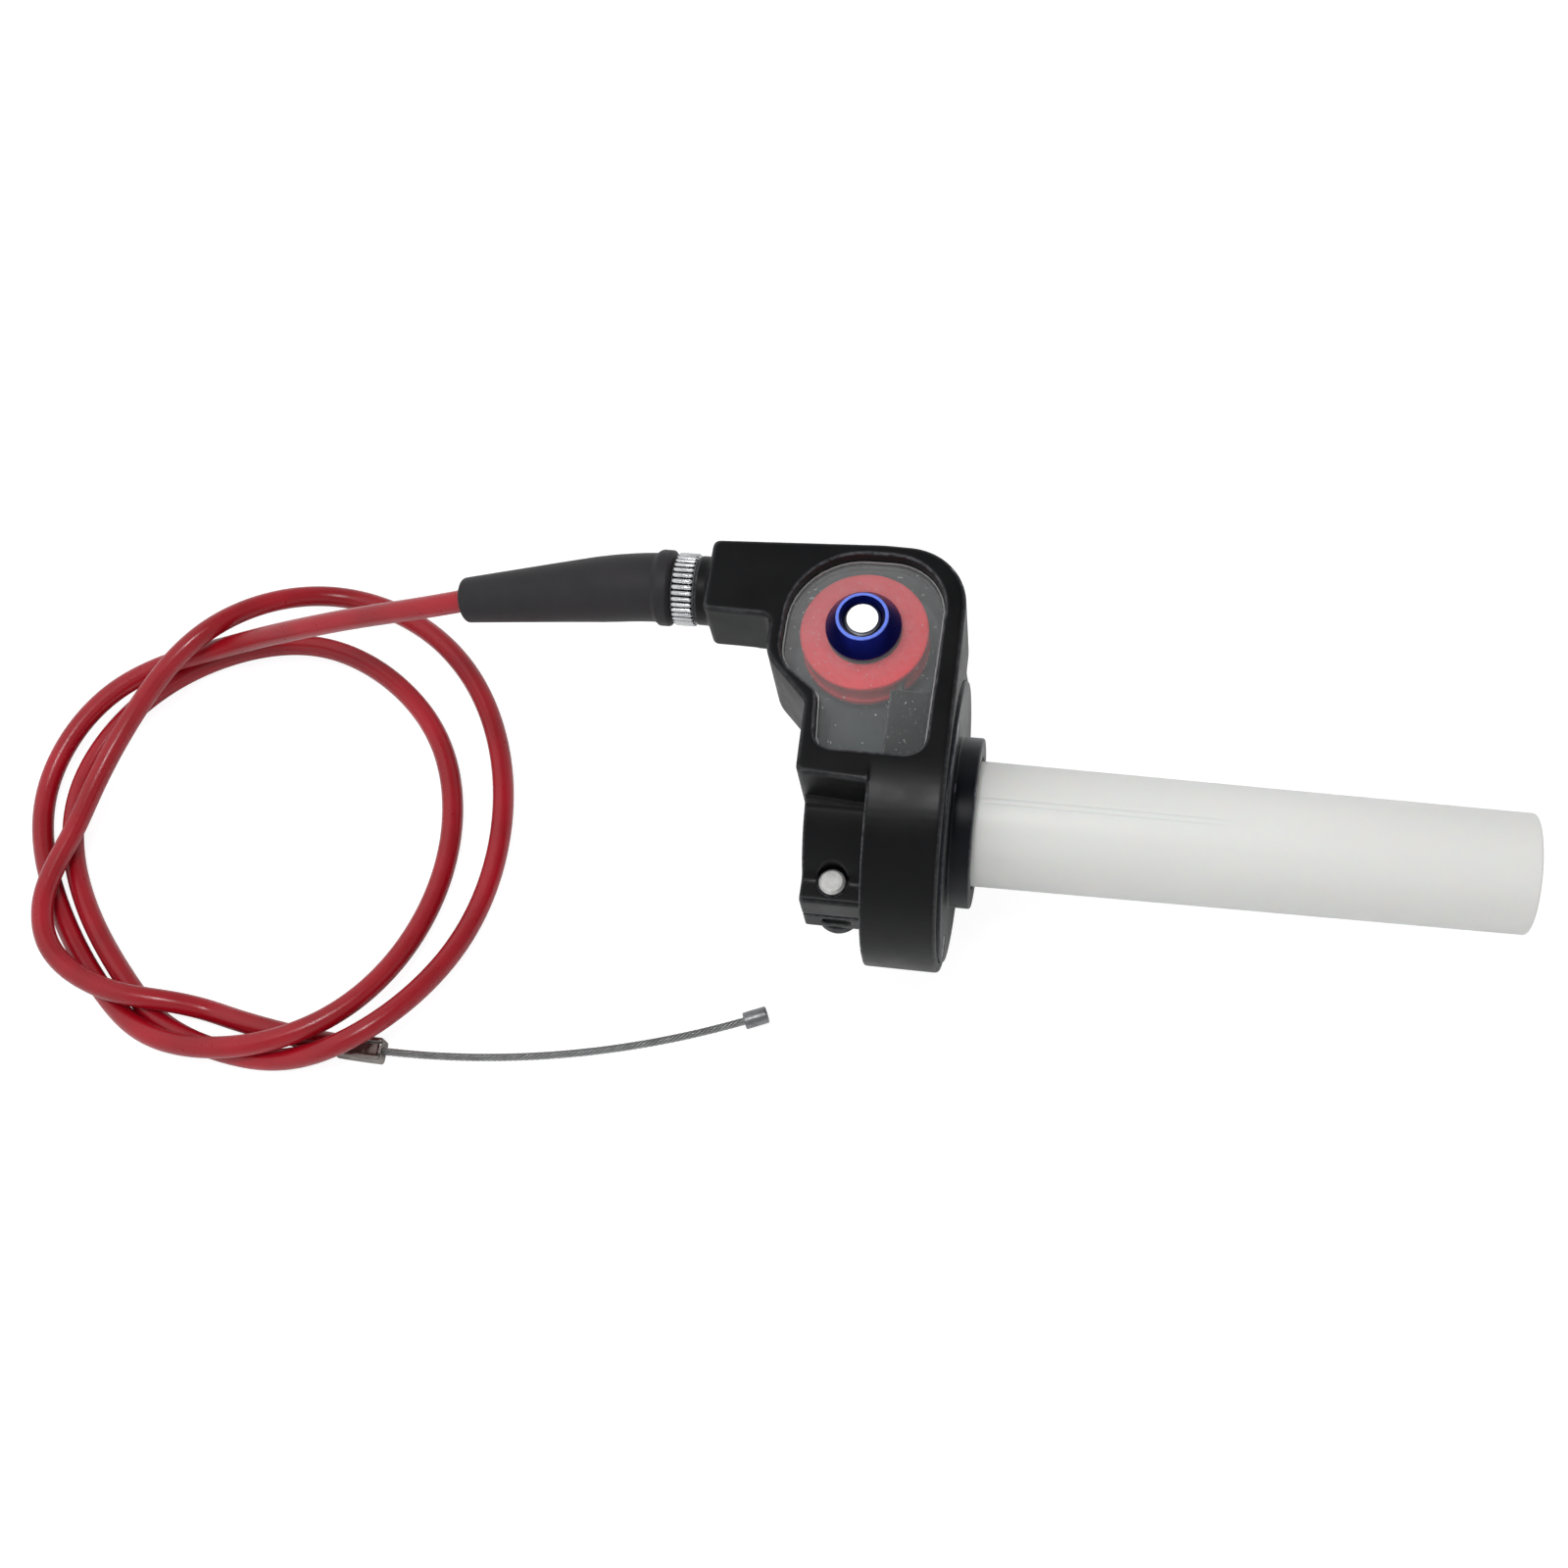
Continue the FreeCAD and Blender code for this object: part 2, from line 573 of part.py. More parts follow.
def clamp_bolts():
    bolts = []
    for side, tip_z in ((-1, CLAMP_BOLT_TIP_Z), (1, CLAMP_BLIND_TIP_Z)):
        y = side * CLAMP_BOLT_Y
        head_z = EAR_REAR_Z - CLAMP_BOLT_HEAD_HEIGHT
        bolt = revolve_z((
            (0, head_z),
            (CLAMP_BOLT_HEAD_R - CLAMP_BOLT_CHAMFER, head_z),
            (CLAMP_BOLT_HEAD_R, head_z + CLAMP_BOLT_CHAMFER),
            (CLAMP_BOLT_HEAD_R, EAR_REAR_Z),
            (CLAMP_BOLT_R, EAR_REAR_Z),
            (CLAMP_BOLT_R, tip_z - CLAMP_BOLT_CHAMFER),
            (CLAMP_BOLT_R - CLAMP_BOLT_CHAMFER, tip_z),
            (0, tip_z),
        ), CLAMP_BOLT_X, y)
        bolts.append(bolt.cut(hex_socket(head_z - 1, head_z + CLAMP_HEX_DEPTH, CLAMP_BOLT_X, y)))
    return Part.makeCompound(bolts)


def tube_thrust_washer():
    outer = cylinder_x(TUBE_R - END_PLAY, END_WALL, TUBE_INNER_X - END_PLAY)
    return outer.cut(cylinder_x(TUBE_BORE_R, END_WALL - 1, TUBE_INNER_X + 1))


def key_box(clearance, start_x, end_x):
    half = KEY_WIDTH / 2 + clearance
    reach = KEY_R + clearance
    return box((start_x, -half, -reach), (end_x, half, reach))


def twist_tube():
    body = revolve_x((
        (TUBE_INNER_X, TUBE_BORE_R),
        (TUBE_INNER_X, TUBE_R),
        (TUBE_FLANGE_X, TUBE_R),
        (TUBE_FLANGE_X, TUBE_FLANGE_R),
        (TUBE_FLANGE_END_X, TUBE_FLANGE_R),
        (TUBE_FLANGE_END_X, TUBE_R),
        (COLLAR_END_X, TUBE_R),
        (TUBE_END_X - TUBE_END_EDGE, TUBE_END_R),
        (TUBE_END_X, TUBE_END_R - TUBE_END_EDGE),
        (TUBE_END_X, TUBE_BORE_R + TUBE_END_EDGE / 2),
        (TUBE_END_X - TUBE_END_EDGE / 2, TUBE_BORE_R),
    ))
    keys = key_box(0, TUBE_INNER_X, TUBE_FLANGE_X).cut(cylinder_x(TUBE_R - 1, 0, TUBE_FLANGE_X + 1))
    rib = box((RIB_START_X, -RIB_HALF_WIDTH, TUBE_END_R), (RIB_END_X, RIB_HALF_WIDTH, TUBE_R + RIB_HEIGHT))
    return body.fuse([keys, rib])


def cable_drum():
    groove_half = WIRE_R + FIT_GAP
    groove_root = DRUM_WIRE_R - WIRE_R - FIT_GAP
    disc = revolve_x((
        (DRUM_REAR_X, TUBE_R + FIT_GAP),
        (DRUM_REAR_X, DRUM_R),
        (DRUM_WIRE_X - groove_half, DRUM_R),
        (DRUM_WIRE_X - groove_half, groove_root),
        (DRUM_WIRE_X + groove_half, groove_root),
        (DRUM_WIRE_X + groove_half, DRUM_R),
        (DRUM_DISC_X, DRUM_R),
        (DRUM_DISC_X, DRUM_HUB_R),
        (TUBE_FLANGE_X - FIT_GAP, DRUM_HUB_R),
        (TUBE_FLANGE_X - FIT_GAP, TUBE_R + FIT_GAP),
    ))
    nipple_place = around_x(90 + NIPPLE_ANGLE, NIPPLE_CIRCLE, 0)
    pocket = cylinder_x(NIPPLE_R + FIT_GAP, NIPPLE_POCKET_X, DRUM_DISC_X + 1,
                        nipple_place.y, nipple_place.z)
    return disc.cut([key_box(FIT_GAP, DRUM_REAR_X - 1, TUBE_FLANGE_X + 1), pocket])


def drum_arc(start_angle, end_angle):
    """A round wire on the drum's groove circle, between two angles from +Z towards -Y."""
    start = around_x(90 + start_angle, DRUM_WIRE_R, DRUM_WIRE_X)
    section = Part.Face(Part.Wire(Part.Circle(start, Y_AXIS, WIRE_R).toShape()))
    section.rotate(start, X_AXIS, start_angle)
    return section.revolve(Vector(0, 0, 0), X_AXIS, end_angle - start_angle)


def drum_nipple():
    place = around_x(90 + NIPPLE_ANGLE, NIPPLE_CIRCLE, 0)
    nipple = cylinder_x(NIPPLE_R, NIPPLE_POCKET_X + FIT_GAP, DRUM_DISC_X - END_PLAY, place.y, place.z)
    return nipple.cut(drum_arc(0, NIPPLE_ANGLE))


def drum_wire_wrap():
    return drum_arc(0.3, NIPPLE_ANGLE - 0.5)


def inner_wire_run():
    corner = Vector(PULLEY_X, PULLEY_Y, WIRE_Z)
    half = math.radians(45)
    middle = corner + Vector(math.cos(half), math.sin(half), 0) * PULLEY_WIRE_R
    path = Part.Wire([
        Part.makeLine(Vector(DRUM_WIRE_X, 0, WIRE_Z), Vector(DRUM_WIRE_X, PULLEY_Y, WIRE_Z)),
        Part.Arc(Vector(DRUM_WIRE_X, PULLEY_Y, WIRE_Z), middle,
                 Vector(PULLEY_X, ADJUSTER_Y, WIRE_Z)).toShape(),
        Part.makeLine(Vector(PULLEY_X, ADJUSTER_Y, WIRE_Z), Vector(JACKET_SEAT_X + 0.3, ADJUSTER_Y, WIRE_Z)),
    ])
    section = Part.Face(Part.Wire(Part.Circle(Vector(DRUM_WIRE_X, 0, WIRE_Z), Y_AXIS, WIRE_R).toShape()))
    return path.makePipe(section)


def tail_point(angle):
    turn = math.radians(angle)
    return TAIL_CENTRE + Vector(math.cos(turn), math.sin(turn), 0) * TAIL_R


def tail_direction(angle):
    turn = math.radians(angle)
    return Vector(-math.sin(turn), math.cos(turn), 0)


def tail_sweep(face, start_angle, end_angle):
    """Turn a section that stands on the tail arc at start_angle to end_angle."""
    return face.revolve(TAIL_CENTRE, Z_AXIS, end_angle - start_angle)


def tail_round(radius, start_angle, end_angle):
    ring = Part.Circle(tail_point(start_angle), tail_direction(start_angle), radius).toShape()
    return tail_sweep(Part.Face(Part.Wire(ring)), start_angle, end_angle)


def coil_points():
    points = [
        Vector(-75, ADJUSTER_Y - 0.2, 23.4),
        Vector(-102, 37.2, 16),
    ]
    for angle, radius, height in COIL_LIE:
        turn = math.radians(angle)
        x = COIL_X + radius * math.cos(turn)
        y = COIL_Y + radius * math.sin(turn)
        points.append(Vector(x, y, STRAND_Z + height))
    return points


def cable_curve():
    """From the ferrule's seat, through the coil, and along the tail arc."""
    points = [Vector(JACKET_SEAT_X - i * STRAIGHT_STEP, ADJUSTER_Y, WIRE_Z) for i in range(4)]
    points.extend(coil_points())
    steps = round((TAIL_JACKET_END - TAIL_JACKET_START) / TAIL_STEP)
    for i in range(steps + 1):
        points.append(tail_point(TAIL_JACKET_START + (TAIL_JACKET_END - TAIL_JACKET_START) * i / steps))
    curve = Part.BSplineCurve()
    curve.interpolate(Points=points)
    return curve


def cable_path(end_angle):
    """The cable's line up to a place on the tail arc, cut into short edges that sweep truly."""
    curve = cable_curve()
    start = curve.FirstParameter
    length = curve.parameter(tail_point(end_angle)) - start
    cuts = [start + length * i / PATH_EDGES for i in range(PATH_EDGES + 1)]
    return Part.Wire([curve.toShape(a, b) for a, b in zip(cuts, cuts[1:])])


def cable_layer(outer_r, bore_r, end_angle):
    path = cable_path(end_angle)
    start = Vector(JACKET_SEAT_X, ADJUSTER_Y, WIRE_Z)
    rings = [Part.Wire(Part.Circle(start, X_AXIS, r).toShape()) for r in (outer_r, bore_r) if r]
    section = Part.makeFace(rings, "Part::FaceMakerBullseye")
    return path.makePipe(section)


def cable_jacket():
    return cable_layer(JACKET_R, JACKET_BORE_R, TAIL_JACKET_END)


def cable_conduit():
    return cable_layer(CONDUIT_R, CONDUIT_BORE_R, TAIL_JACKET_END)


def cable_liner():
    return cable_layer(LINER_R, LINER_BORE_R, TAIL_JACKET_END)


def inner_wire_coil():
    return cable_layer(WIRE_R, 0, TAIL_WIRE_HIDDEN_END)


def throttle_end_ferrule():
    ferrule = cylinder_x(FERRULE_R, FERRULE_SEAT_X - END_PLAY, FERRULE_END_X, ADJUSTER_Y, WIRE_Z)
    socket = cylinder_x(JACKET_R + FIT_GAP, JACKET_SEAT_X + END_PLAY, FERRULE_END_X - 1, ADJUSTER_Y, WIRE_Z)
    hole = cylinder_x(WIRE_BORE_R, 0, FERRULE_END_X - 1, ADJUSTER_Y, WIRE_Z)
    return ferrule.cut([socket, hole])


BOOT_SECTIONS = (
    (-49.0, 7.9), (-50.0, 8.4), (-52.0, 8.4), (-53.2, 7.7), (-56.0, 7.5), (-63.0, 7.5),
    (-72.0, 7.0), (-82.0, 6.3), (-92.0, 5.6), (-98.0, 5.2), (-101.0, 4.9), (-102.0, 4.2),
)


def cable_boot():
    path = cable_path(TAIL_JACKET_END)
    points = path.Edges[0].discretize(Distance=0.25)
    rings = []
    for x, radius in BOOT_SECTIONS:
        if x > FERRULE_END_X:
            place = Vector(x, ADJUSTER_Y, WIRE_Z)
            way = Vector(-1, 0, 0)
        else:
            i = min(range(2, len(points) - 2), key=lambda n: abs(points[n].x - x))
            place = points[i]
            way = (points[i + 2] - points[i - 2]).normalize()
        rings.append(Part.Wire(Part.Circle(place, way, radius).toShape()))
    body = Part.makeLoft(rings, True, False)
    start = Vector(BOOT_X + 1, ADJUSTER_Y, WIRE_Z)
    lead = Part.makeLine(start, Vector(JACKET_SEAT_X, ADJUSTER_Y, WIRE_Z))
    channel_path = Part.Wire([lead, path.Edges[0]])
    section = Part.Face(Part.Wire(Part.Circle(start, X_AXIS, JACKET_R + FIT_GAP).toShape()))
    channel = channel_path.makePipe(section)
    seat = cylinder_x(FERRULE_R + FIT_GAP, BOOT_X + 2, FERRULE_END_X - 0.2, ADJUSTER_Y, WIRE_Z)
    return body.cut([seat, channel])


def carb_end_ferrule():
    """Crimped end: a squared barrel with a flange at each end and pinch marks."""
    angle = TAIL_FERRULE_START

    def square(start_angle, end_angle, grow):
        centre = tail_point(start_angle)
        across = Z_AXIS.cross(tail_direction(start_angle))
        wide = CRIMP_HALF_WIDTH + grow
        tall = min(CRIMP_HALF_HEIGHT, CRIMP_HALF_HEIGHT + grow)
        corners = [centre + across * (wide * a) + Z_AXIS * (tall * b) for a, b in
                   ((-1, -1), (1, -1), (1, 1), (-1, 1))]
        face = Part.Face(Part.makePolygon(corners + corners[:1]))
        return tail_sweep(face, start_angle, end_angle)

    length = TAIL_FERRULE_END - TAIL_FERRULE_START
    barrel = tail_round(CRIMP_HALF_HEIGHT, angle, TAIL_FERRULE_END)
    body = barrel.fuse([square(angle + length * start, angle + length * end, grow)
                        for start, end, grow in CRIMP_SEGMENTS])
    socket = tail_round(JACKET_R + FIT_GAP, angle - 1, angle + CRIMP_SOCKET_ANGLE)
    hole = tail_round(WIRE_R + END_PLAY, angle - 1, TAIL_FERRULE_END + 1)
    return body.cut([socket, hole])


def adjuster_barrel():
    ring = cylinder_x(KNURL_R - KNURL_ROOT_DEPTH, KNURL_X, KNURL_END_X, ADJUSTER_Y, WIRE_Z)
    ribs = []
    for i in range(KNURL_RIBS):
        place = around_x(360 * i / KNURL_RIBS, KNURL_R - KNURL_RIB_R, 0)
        ribs.append(cylinder_x(KNURL_RIB_R, KNURL_X - KNURL_RIB_END_GAP, KNURL_END_X + KNURL_RIB_END_GAP,
                               ADJUSTER_Y + place.y, WIRE_Z + place.z))
    shank = cylinder_x(ADJUSTER_SHANK_R, ADJUSTER_SHANK_X, KNURL_X, ADJUSTER_Y, WIRE_Z)
    body = ring.fuse(ribs + [shank])
    hole = cylinder_x(WIRE_BORE_R, 0, KNURL_END_X - 1, ADJUSTER_Y, WIRE_Z)
    socket = cylinder_x(FERRULE_R + FIT_GAP, FERRULE_SEAT_X, KNURL_END_X - 1, ADJUSTER_Y, WIRE_Z)
    return body.cut([hole, socket])


def inner_wire_tail():
    return tail_round(WIRE_R, TAIL_WIRE_START, TAIL_NIPPLE_START + NIPPLE_SOCKET_ANGLE)


def carb_end_nipple():
    """A straight pin, square to the wire's end."""
    middle_angle = (TAIL_NIPPLE_START + TAIL_NIPPLE_END) / 2
    length = math.radians(TAIL_NIPPLE_END - TAIL_NIPPLE_START) * TAIL_R
    way = tail_direction(middle_angle)
    nipple = Part.makeCylinder(CARB_NIPPLE_R, length, tail_point(middle_angle) - way * (length / 2), way)
    return nipple.cut(tail_round(WIRE_R, TAIL_NIPPLE_START - 1, TAIL_NIPPLE_START + NIPPLE_SOCKET_ANGLE))


PIECES = (
    housing_body, side_cover, side_cover_screws, window, cone_nut, pulley_axle_bolt,
    pulley_sleeve, pulley_washers, pulley, clamp_cap, clamp_bolts, tube_thrust_washer,
    twist_tube, cable_drum, drum_nipple, drum_wire_wrap, inner_wire_run, adjuster_barrel,
    throttle_end_ferrule, cable_boot, cable_jacket, cable_conduit, cable_liner,
    inner_wire_coil, carb_end_ferrule, inner_wire_tail, carb_end_nipple,
)

os.makedirs("parts", exist_ok=True)
for piece in PIECES:
    piece().exportStep("parts/" + piece.__name__ + ".step")
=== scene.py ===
import math

import bmesh
import bpy
import numpy as np
from mathutils import Matrix, Vector
from mathutils.geometry import tessellate_polygon


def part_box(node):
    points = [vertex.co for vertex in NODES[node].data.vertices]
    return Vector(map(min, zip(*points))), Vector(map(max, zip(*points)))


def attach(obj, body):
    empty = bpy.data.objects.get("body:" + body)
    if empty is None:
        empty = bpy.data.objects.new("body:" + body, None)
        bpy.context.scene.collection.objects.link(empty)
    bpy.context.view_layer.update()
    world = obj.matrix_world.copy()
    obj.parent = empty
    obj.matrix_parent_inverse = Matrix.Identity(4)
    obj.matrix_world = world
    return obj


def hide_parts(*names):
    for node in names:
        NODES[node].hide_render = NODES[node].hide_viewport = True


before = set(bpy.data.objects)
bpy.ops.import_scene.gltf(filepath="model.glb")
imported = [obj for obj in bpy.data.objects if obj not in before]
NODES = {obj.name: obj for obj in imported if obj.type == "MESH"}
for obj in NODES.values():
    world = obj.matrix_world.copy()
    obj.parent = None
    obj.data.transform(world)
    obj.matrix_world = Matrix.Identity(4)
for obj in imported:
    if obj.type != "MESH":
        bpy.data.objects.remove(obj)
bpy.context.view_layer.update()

MM = 0.001
TAU = 2 * math.pi
UPWARD = (0, 0, 1)
TURNED_SMOOTH = 35.0


def node_box(node):
    """Lowest and highest corner of a CAD node, in millimetres."""
    low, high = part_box(node)
    return np.array(low) / MM, np.array(high) / MM


# ---- driving sizes in millimetres, read from the frame ---------------------------
TUBE_LOW, TUBE_HIGH = node_box("twist_tube")
COVER_HIGH = node_box("side_cover")[1]
PULLEY_LOW, PULLEY_HIGH = node_box("pulley")
PANE_LOW, PANE_HIGH = node_box("window")
NUT_LOW, NUT_HIGH = node_box("cone_nut")
AXLE_LOW, AXLE_HIGH = node_box("pulley_axle_bolt")
KNURL_LOW, KNURL_HIGH = node_box("adjuster_barrel")
BENCH_Z = node_box("housing_body")[0][2]
BOLTS_LOW, BOLTS_HIGH = node_box("clamp_bolts")

TUBE_BORE_R = 11.4
TUBE_R = 14.0
TUBE_END_R = 13.1
COVER_R = COVER_HIGH[1]
COLLAR_R = 19.1
COLLAR_END_X = COVER_HIGH[0]
COVER_FACE_X = 17.2
COVER_SEAT_X = 14.4
COVER_SCREW_CIRCLE = 28.2
COVER_SCREW_ANGLES = (70, 190, 310)
PULLEY_X = (PULLEY_LOW[0] + PULLEY_HIGH[0]) / 2
PULLEY_Y = (PULLEY_LOW[1] + PULLEY_HIGH[1]) / 2
PULLEY_R = (PULLEY_HIGH[0] - PULLEY_LOW[0]) / 2
WIRE_Z = 25.0
CHAMBER_FLOOR_Z = 18.0
SHELF_Z = 28.3
ADJUSTER_Y = 40.0
KNURL_R = (KNURL_HIGH[1] - KNURL_LOW[1]) / 2
KNURL_X = -44.1
KNURL_END_X = KNURL_LOW[0] - 0.8
AXLE_R = 4.0
SHANK_R = 4.0
WIRE_BORE_R = 1.3
FERRULE_SOCKET_R = 3.55
JACKET_R = 2.6
STRAND_Z = BENCH_Z + JACKET_R

# the flat arc that the cable's end and the bare wire lie on
TAIL_CENTRE = (-112.0, 156.0)
TAIL_R = 215.0
TAIL_JACKET_START = -102.2
TAIL_FERRULE_START = -93.4
TAIL_FERRULE_END = -90.3
TAIL_NIPPLE_START = -67.2
TAIL_NIPPLE_END = -65.7
WIRE_START = -93.3
NIPPLE_R = 2.0

# the loose coil, as (angle, radius, height above the lowest lie), strand by strand
COIL_CENTRE = (-155.0, -2.0)
COIL_LIE = (
    (60, 46, 33), (90, 40.5, 20.5), (120, 46.5, 7.5), (150, 56, 4), (180, 61, 0.3),
    (210, 57.5, 0), (240, 59.4, 0.3), (255, 62, 3.6), (270, 62.3, 5.8), (300, 59, 5.8),
    (330, 51, 1), (360, 46.5, 0), (390, 45, 0), (420, 45, 0), (450, 47, 0),
    (480, 48, 0), (510, 50.5, 0), (540, 52.5, 0), (570, 51, 0), (600, 53.5, 0),
    (615, 57.8, 0), (630, 61, 0), (645, 64.5, 1.5), (660, 66.5, 6.2), (690, 62, 1),
    (720, 59, 0), (750, 59, 0), (780, 61, 0), (810, 61, 1.5), (840, 48.5, 13.5),
    (870, 44, 9.5), (900, 45.8, 6), (915, 49.5, 6), (930, 58, 6), (942, 61.5, 6),
    (954, 60, 6), (966, 56.5, 5.7), (979, 52.6, 2.6),
)

WINDOW_CORNERS = (
    (-12.3, 0.6, 4.0),
    (11.2, 0.6, 4.5),
    (12.1, 47.4, 12.6),
    (-22.7, 47.4, 16.6),
    (-22.7, 20.5, 9.0),
    (-13.3, 13.6, 2.5),
)


# ---- materials -------------------------------------------------------------------
def srgb(r, g, b):
    """Linear colour for 0-255 screen values."""
    return tuple((c / 255.0) ** 2.2 for c in (r, g, b)) + (1.0,)


class Shader:
    """A small builder over one material's node tree."""

    def __init__(self, name):
        self.material = bpy.data.materials.new(name)
        self.material.use_nodes = True
        self.tree = self.material.node_tree
        self.surface = self.tree.nodes["Principled BSDF"]
        self.output = self.tree.nodes["Material Output"]
        coords = self.tree.nodes.new("ShaderNodeTexCoord")
        self.position = coords.outputs["Object"]

    def set(self, **values):
        for key, value in values.items():
            self.surface.inputs[key.replace("_", " ")].default_value = value

    def link(self, output, node, key):
        self.tree.links.new(output, node.inputs[key])

    def noise(self, scale, detail=3.0, roughness=0.5, stretch=(1, 1, 1)):
        mapping = self.tree.nodes.new("ShaderNodeMapping")
        mapping.inputs["Scale"].default_value = stretch
        self.link(self.position, mapping, "Vector")
        node = self.tree.nodes.new("ShaderNodeTexNoise")
        node.inputs["Scale"].default_value = scale
        node.inputs["Detail"].default_value = detail
        node.inputs["Roughness"].default_value = roughness
        self.link(mapping.outputs["Vector"], node, "Vector")
        return node.outputs["Fac"]

    def ramp(self, source, low, high, low_value, high_value):
        node = self.tree.nodes.new("ShaderNodeMapRange")
        node.inputs["From Min"].default_value = low
        node.inputs["From Max"].default_value = high
        node.inputs["To Min"].default_value = low_value
        node.inputs["To Max"].default_value = high_value
        self.link(source, node, "Value")
        return node.outputs["Result"]

    def mix(self, factor, colour_a, colour_b):
        node = self.tree.nodes.new("ShaderNodeMix")
        node.data_type = "RGBA"
        node.inputs[6].default_value = colour_a
        node.inputs[7].default_value = colour_b
        self.link(factor, node, 0)
        return node.outputs[2]

    def mix_over(self, factor, colour_a, colour_b):
        node = self.tree.nodes.new("ShaderNodeMix")
        node.data_type = "RGBA"
        self.link(colour_a, node, 6)
        node.inputs[7].default_value = colour_b
        self.link(factor, node, 0)
        return node.outputs[2]

    def combine(self, operation, first, second, clamp=False):
        node = self.tree.nodes.new("ShaderNodeMath")
        node.operation = operation
        node.use_clamp = clamp
        self.link(first, node, 0)
        self.link(second, node, 1)
        return node.outputs[0]

    def cloudy(self, factor, colour, other):
        """Blotches of two colours as the base colour."""
        self.link(self.mix(self.ramp(factor, 0.3, 0.7, 0.0, 1.0), colour, other), self.surface, "Base Color")

    def rough(self, factor, low, high):
        self.link(self.ramp(factor, 0.3, 0.7, low, high), self.surface, "Roughness")

    def edges(self, low, high):
        """One along sharp outer edges, nought on flat and gently curved faces."""
        geometry = self.tree.nodes.new("ShaderNodeNewGeometry")
        return self.ramp(geometry.outputs["Pointiness"], low, high, 0.0, 1.0)

    def bump(self, height, strength, distance):
        node = self.tree.nodes.new("ShaderNodeBump")
        node.inputs["Strength"].default_value = strength
        node.inputs["Distance"].default_value = distance * MM
        self.link(height, node, "Height")
        self.link(node.outputs["Normal"], self.surface, "Normal")


def scaled(colour, factor):
    """The same colour, lighter or darker."""
    return tuple(c * factor for c in colour[:3]) + (1,)


def moulded_plastic(name, base, rub_and_highlight_colour, roughness, grain=0.02):
    """Satin moulded or painted surface: fine grain, cloudy sheen, paler edges that are partly rubbed wear
    and partly a painted highlight.
    """
    shader = Shader(name)
    cloud = shader.noise(90.0, 4.0, 0.6)
    colour = shader.mix(shader.ramp(cloud, 0.35, 0.7, 0.0, 1.0), base, scaled(base, 1.25))
    # paler colour on sharp edges, broken up by noise: partly rubbed wear, partly a painted edge highlight
    rub_and_highlight_breakup = shader.ramp(shader.noise(700.0, 3.0, 0.7), 0.35, 0.7, 0.15, 0.75)
    rub_and_highlight_share = shader.combine("MULTIPLY", shader.edges(0.513, 0.56), rub_and_highlight_breakup)
    shader.link(shader.mix_over(rub_and_highlight_share, colour, rub_and_highlight_colour), shader.surface, "Base Color")
    shader.rough(cloud, roughness - 0.05, roughness + 0.07)
    shader.set(Specular_IOR_Level=0.27)
    shader.bump(shader.noise(2600.0, 2.0, 0.6), 0.25, grain)
    return shader.material


def rubber(name, base):
    """Dull black rubber with a faint bloom."""
    shader = Shader(name)
    cloud = shader.noise(140.0, 5.0, 0.65)
    colour = shader.mix(shader.ramp(cloud, 0.35, 0.7, 0.0, 1.0), base, scaled(base, 1.5))
    shader.link(colour, shader.surface, "Base Color")
    shader.rough(cloud, 0.5, 0.62)
    shader.set(Specular_IOR_Level=0.4, Sheen_Weight=0.06, Sheen_Roughness=0.4)
    shader.bump(shader.noise(1800.0, 3.0, 0.6), 0.3, 0.03)
    return shader.material


def pvc(name, deep, bright):
    """Glossy extruded sheath."""
    shader = Shader(name)
    shader.cloudy(shader.noise(60.0, 3.0, 0.5), deep, bright)
    fine = shader.noise(900.0, 3.0, 0.6)
    shader.rough(fine, 0.27, 0.36)
    shader.set(Specular_IOR_Level=0.5, Coat_Weight=0.25, Coat_Roughness=0.25,
               Subsurface_Weight=0.03, Subsurface_Scale=0.001)
    shader.bump(fine, 0.12, 0.03)
    return shader.material


def metal(name, colour, roughness, spread=0.08, grain=0.02, scale=400.0, metallic=1.0):
    """Machined, plated or cast metal; the noise scale sets how coarse its mottling is."""
    shader = Shader(name)
    cloud = shader.noise(scale, 4.0, 0.6)
    shader.cloudy(cloud, colour, scaled(colour, 0.72))
    shader.rough(cloud, roughness, roughness + spread)
    shader.set(Metallic=metallic)
    shader.bump(cloud, 0.2, grain)
    return shader.material


def bright_end(name):
    """The axle's faced end, painted near white and made to glow as a painted highlight for the light it
    catches.
    """
    shader = Shader(name)
    cloud = shader.noise(500.0, 3.0, 0.6)
    shader.link(shader.ramp(cloud, 0.3, 0.7, 0.9, 1.0), shader.surface, "Base Color")
    # the emission is a painted highlight: the end glows though it is no lamp
    shader.set(Metallic=0.2, Roughness=0.35, Emission_Color=(1, 1, 1, 1), Emission_Strength=0.55)
    return shader.material


def nylon(name, colour, shade):
    """Translucent white moulding with faint flow lines along it."""
    shader = Shader(name)
    flow = shader.noise(30.0, 3.0, 0.5, (0.25, 1, 1))
    streaks = shader.ramp(flow, 0.3, 0.75, 0.0, 1.0)
    shader.link(shader.mix(streaks, colour, shade), shader.surface, "Base Color")
    fine = shader.noise(1500.0, 2.0, 0.5)
    shader.rough(fine, 0.36, 0.44)
    shader.set(Subsurface_Weight=0.15, Subsurface_Scale=0.002, Specular_IOR_Level=0.45)
    shader.bump(fine, 0.1, 0.02)
    return shader.material


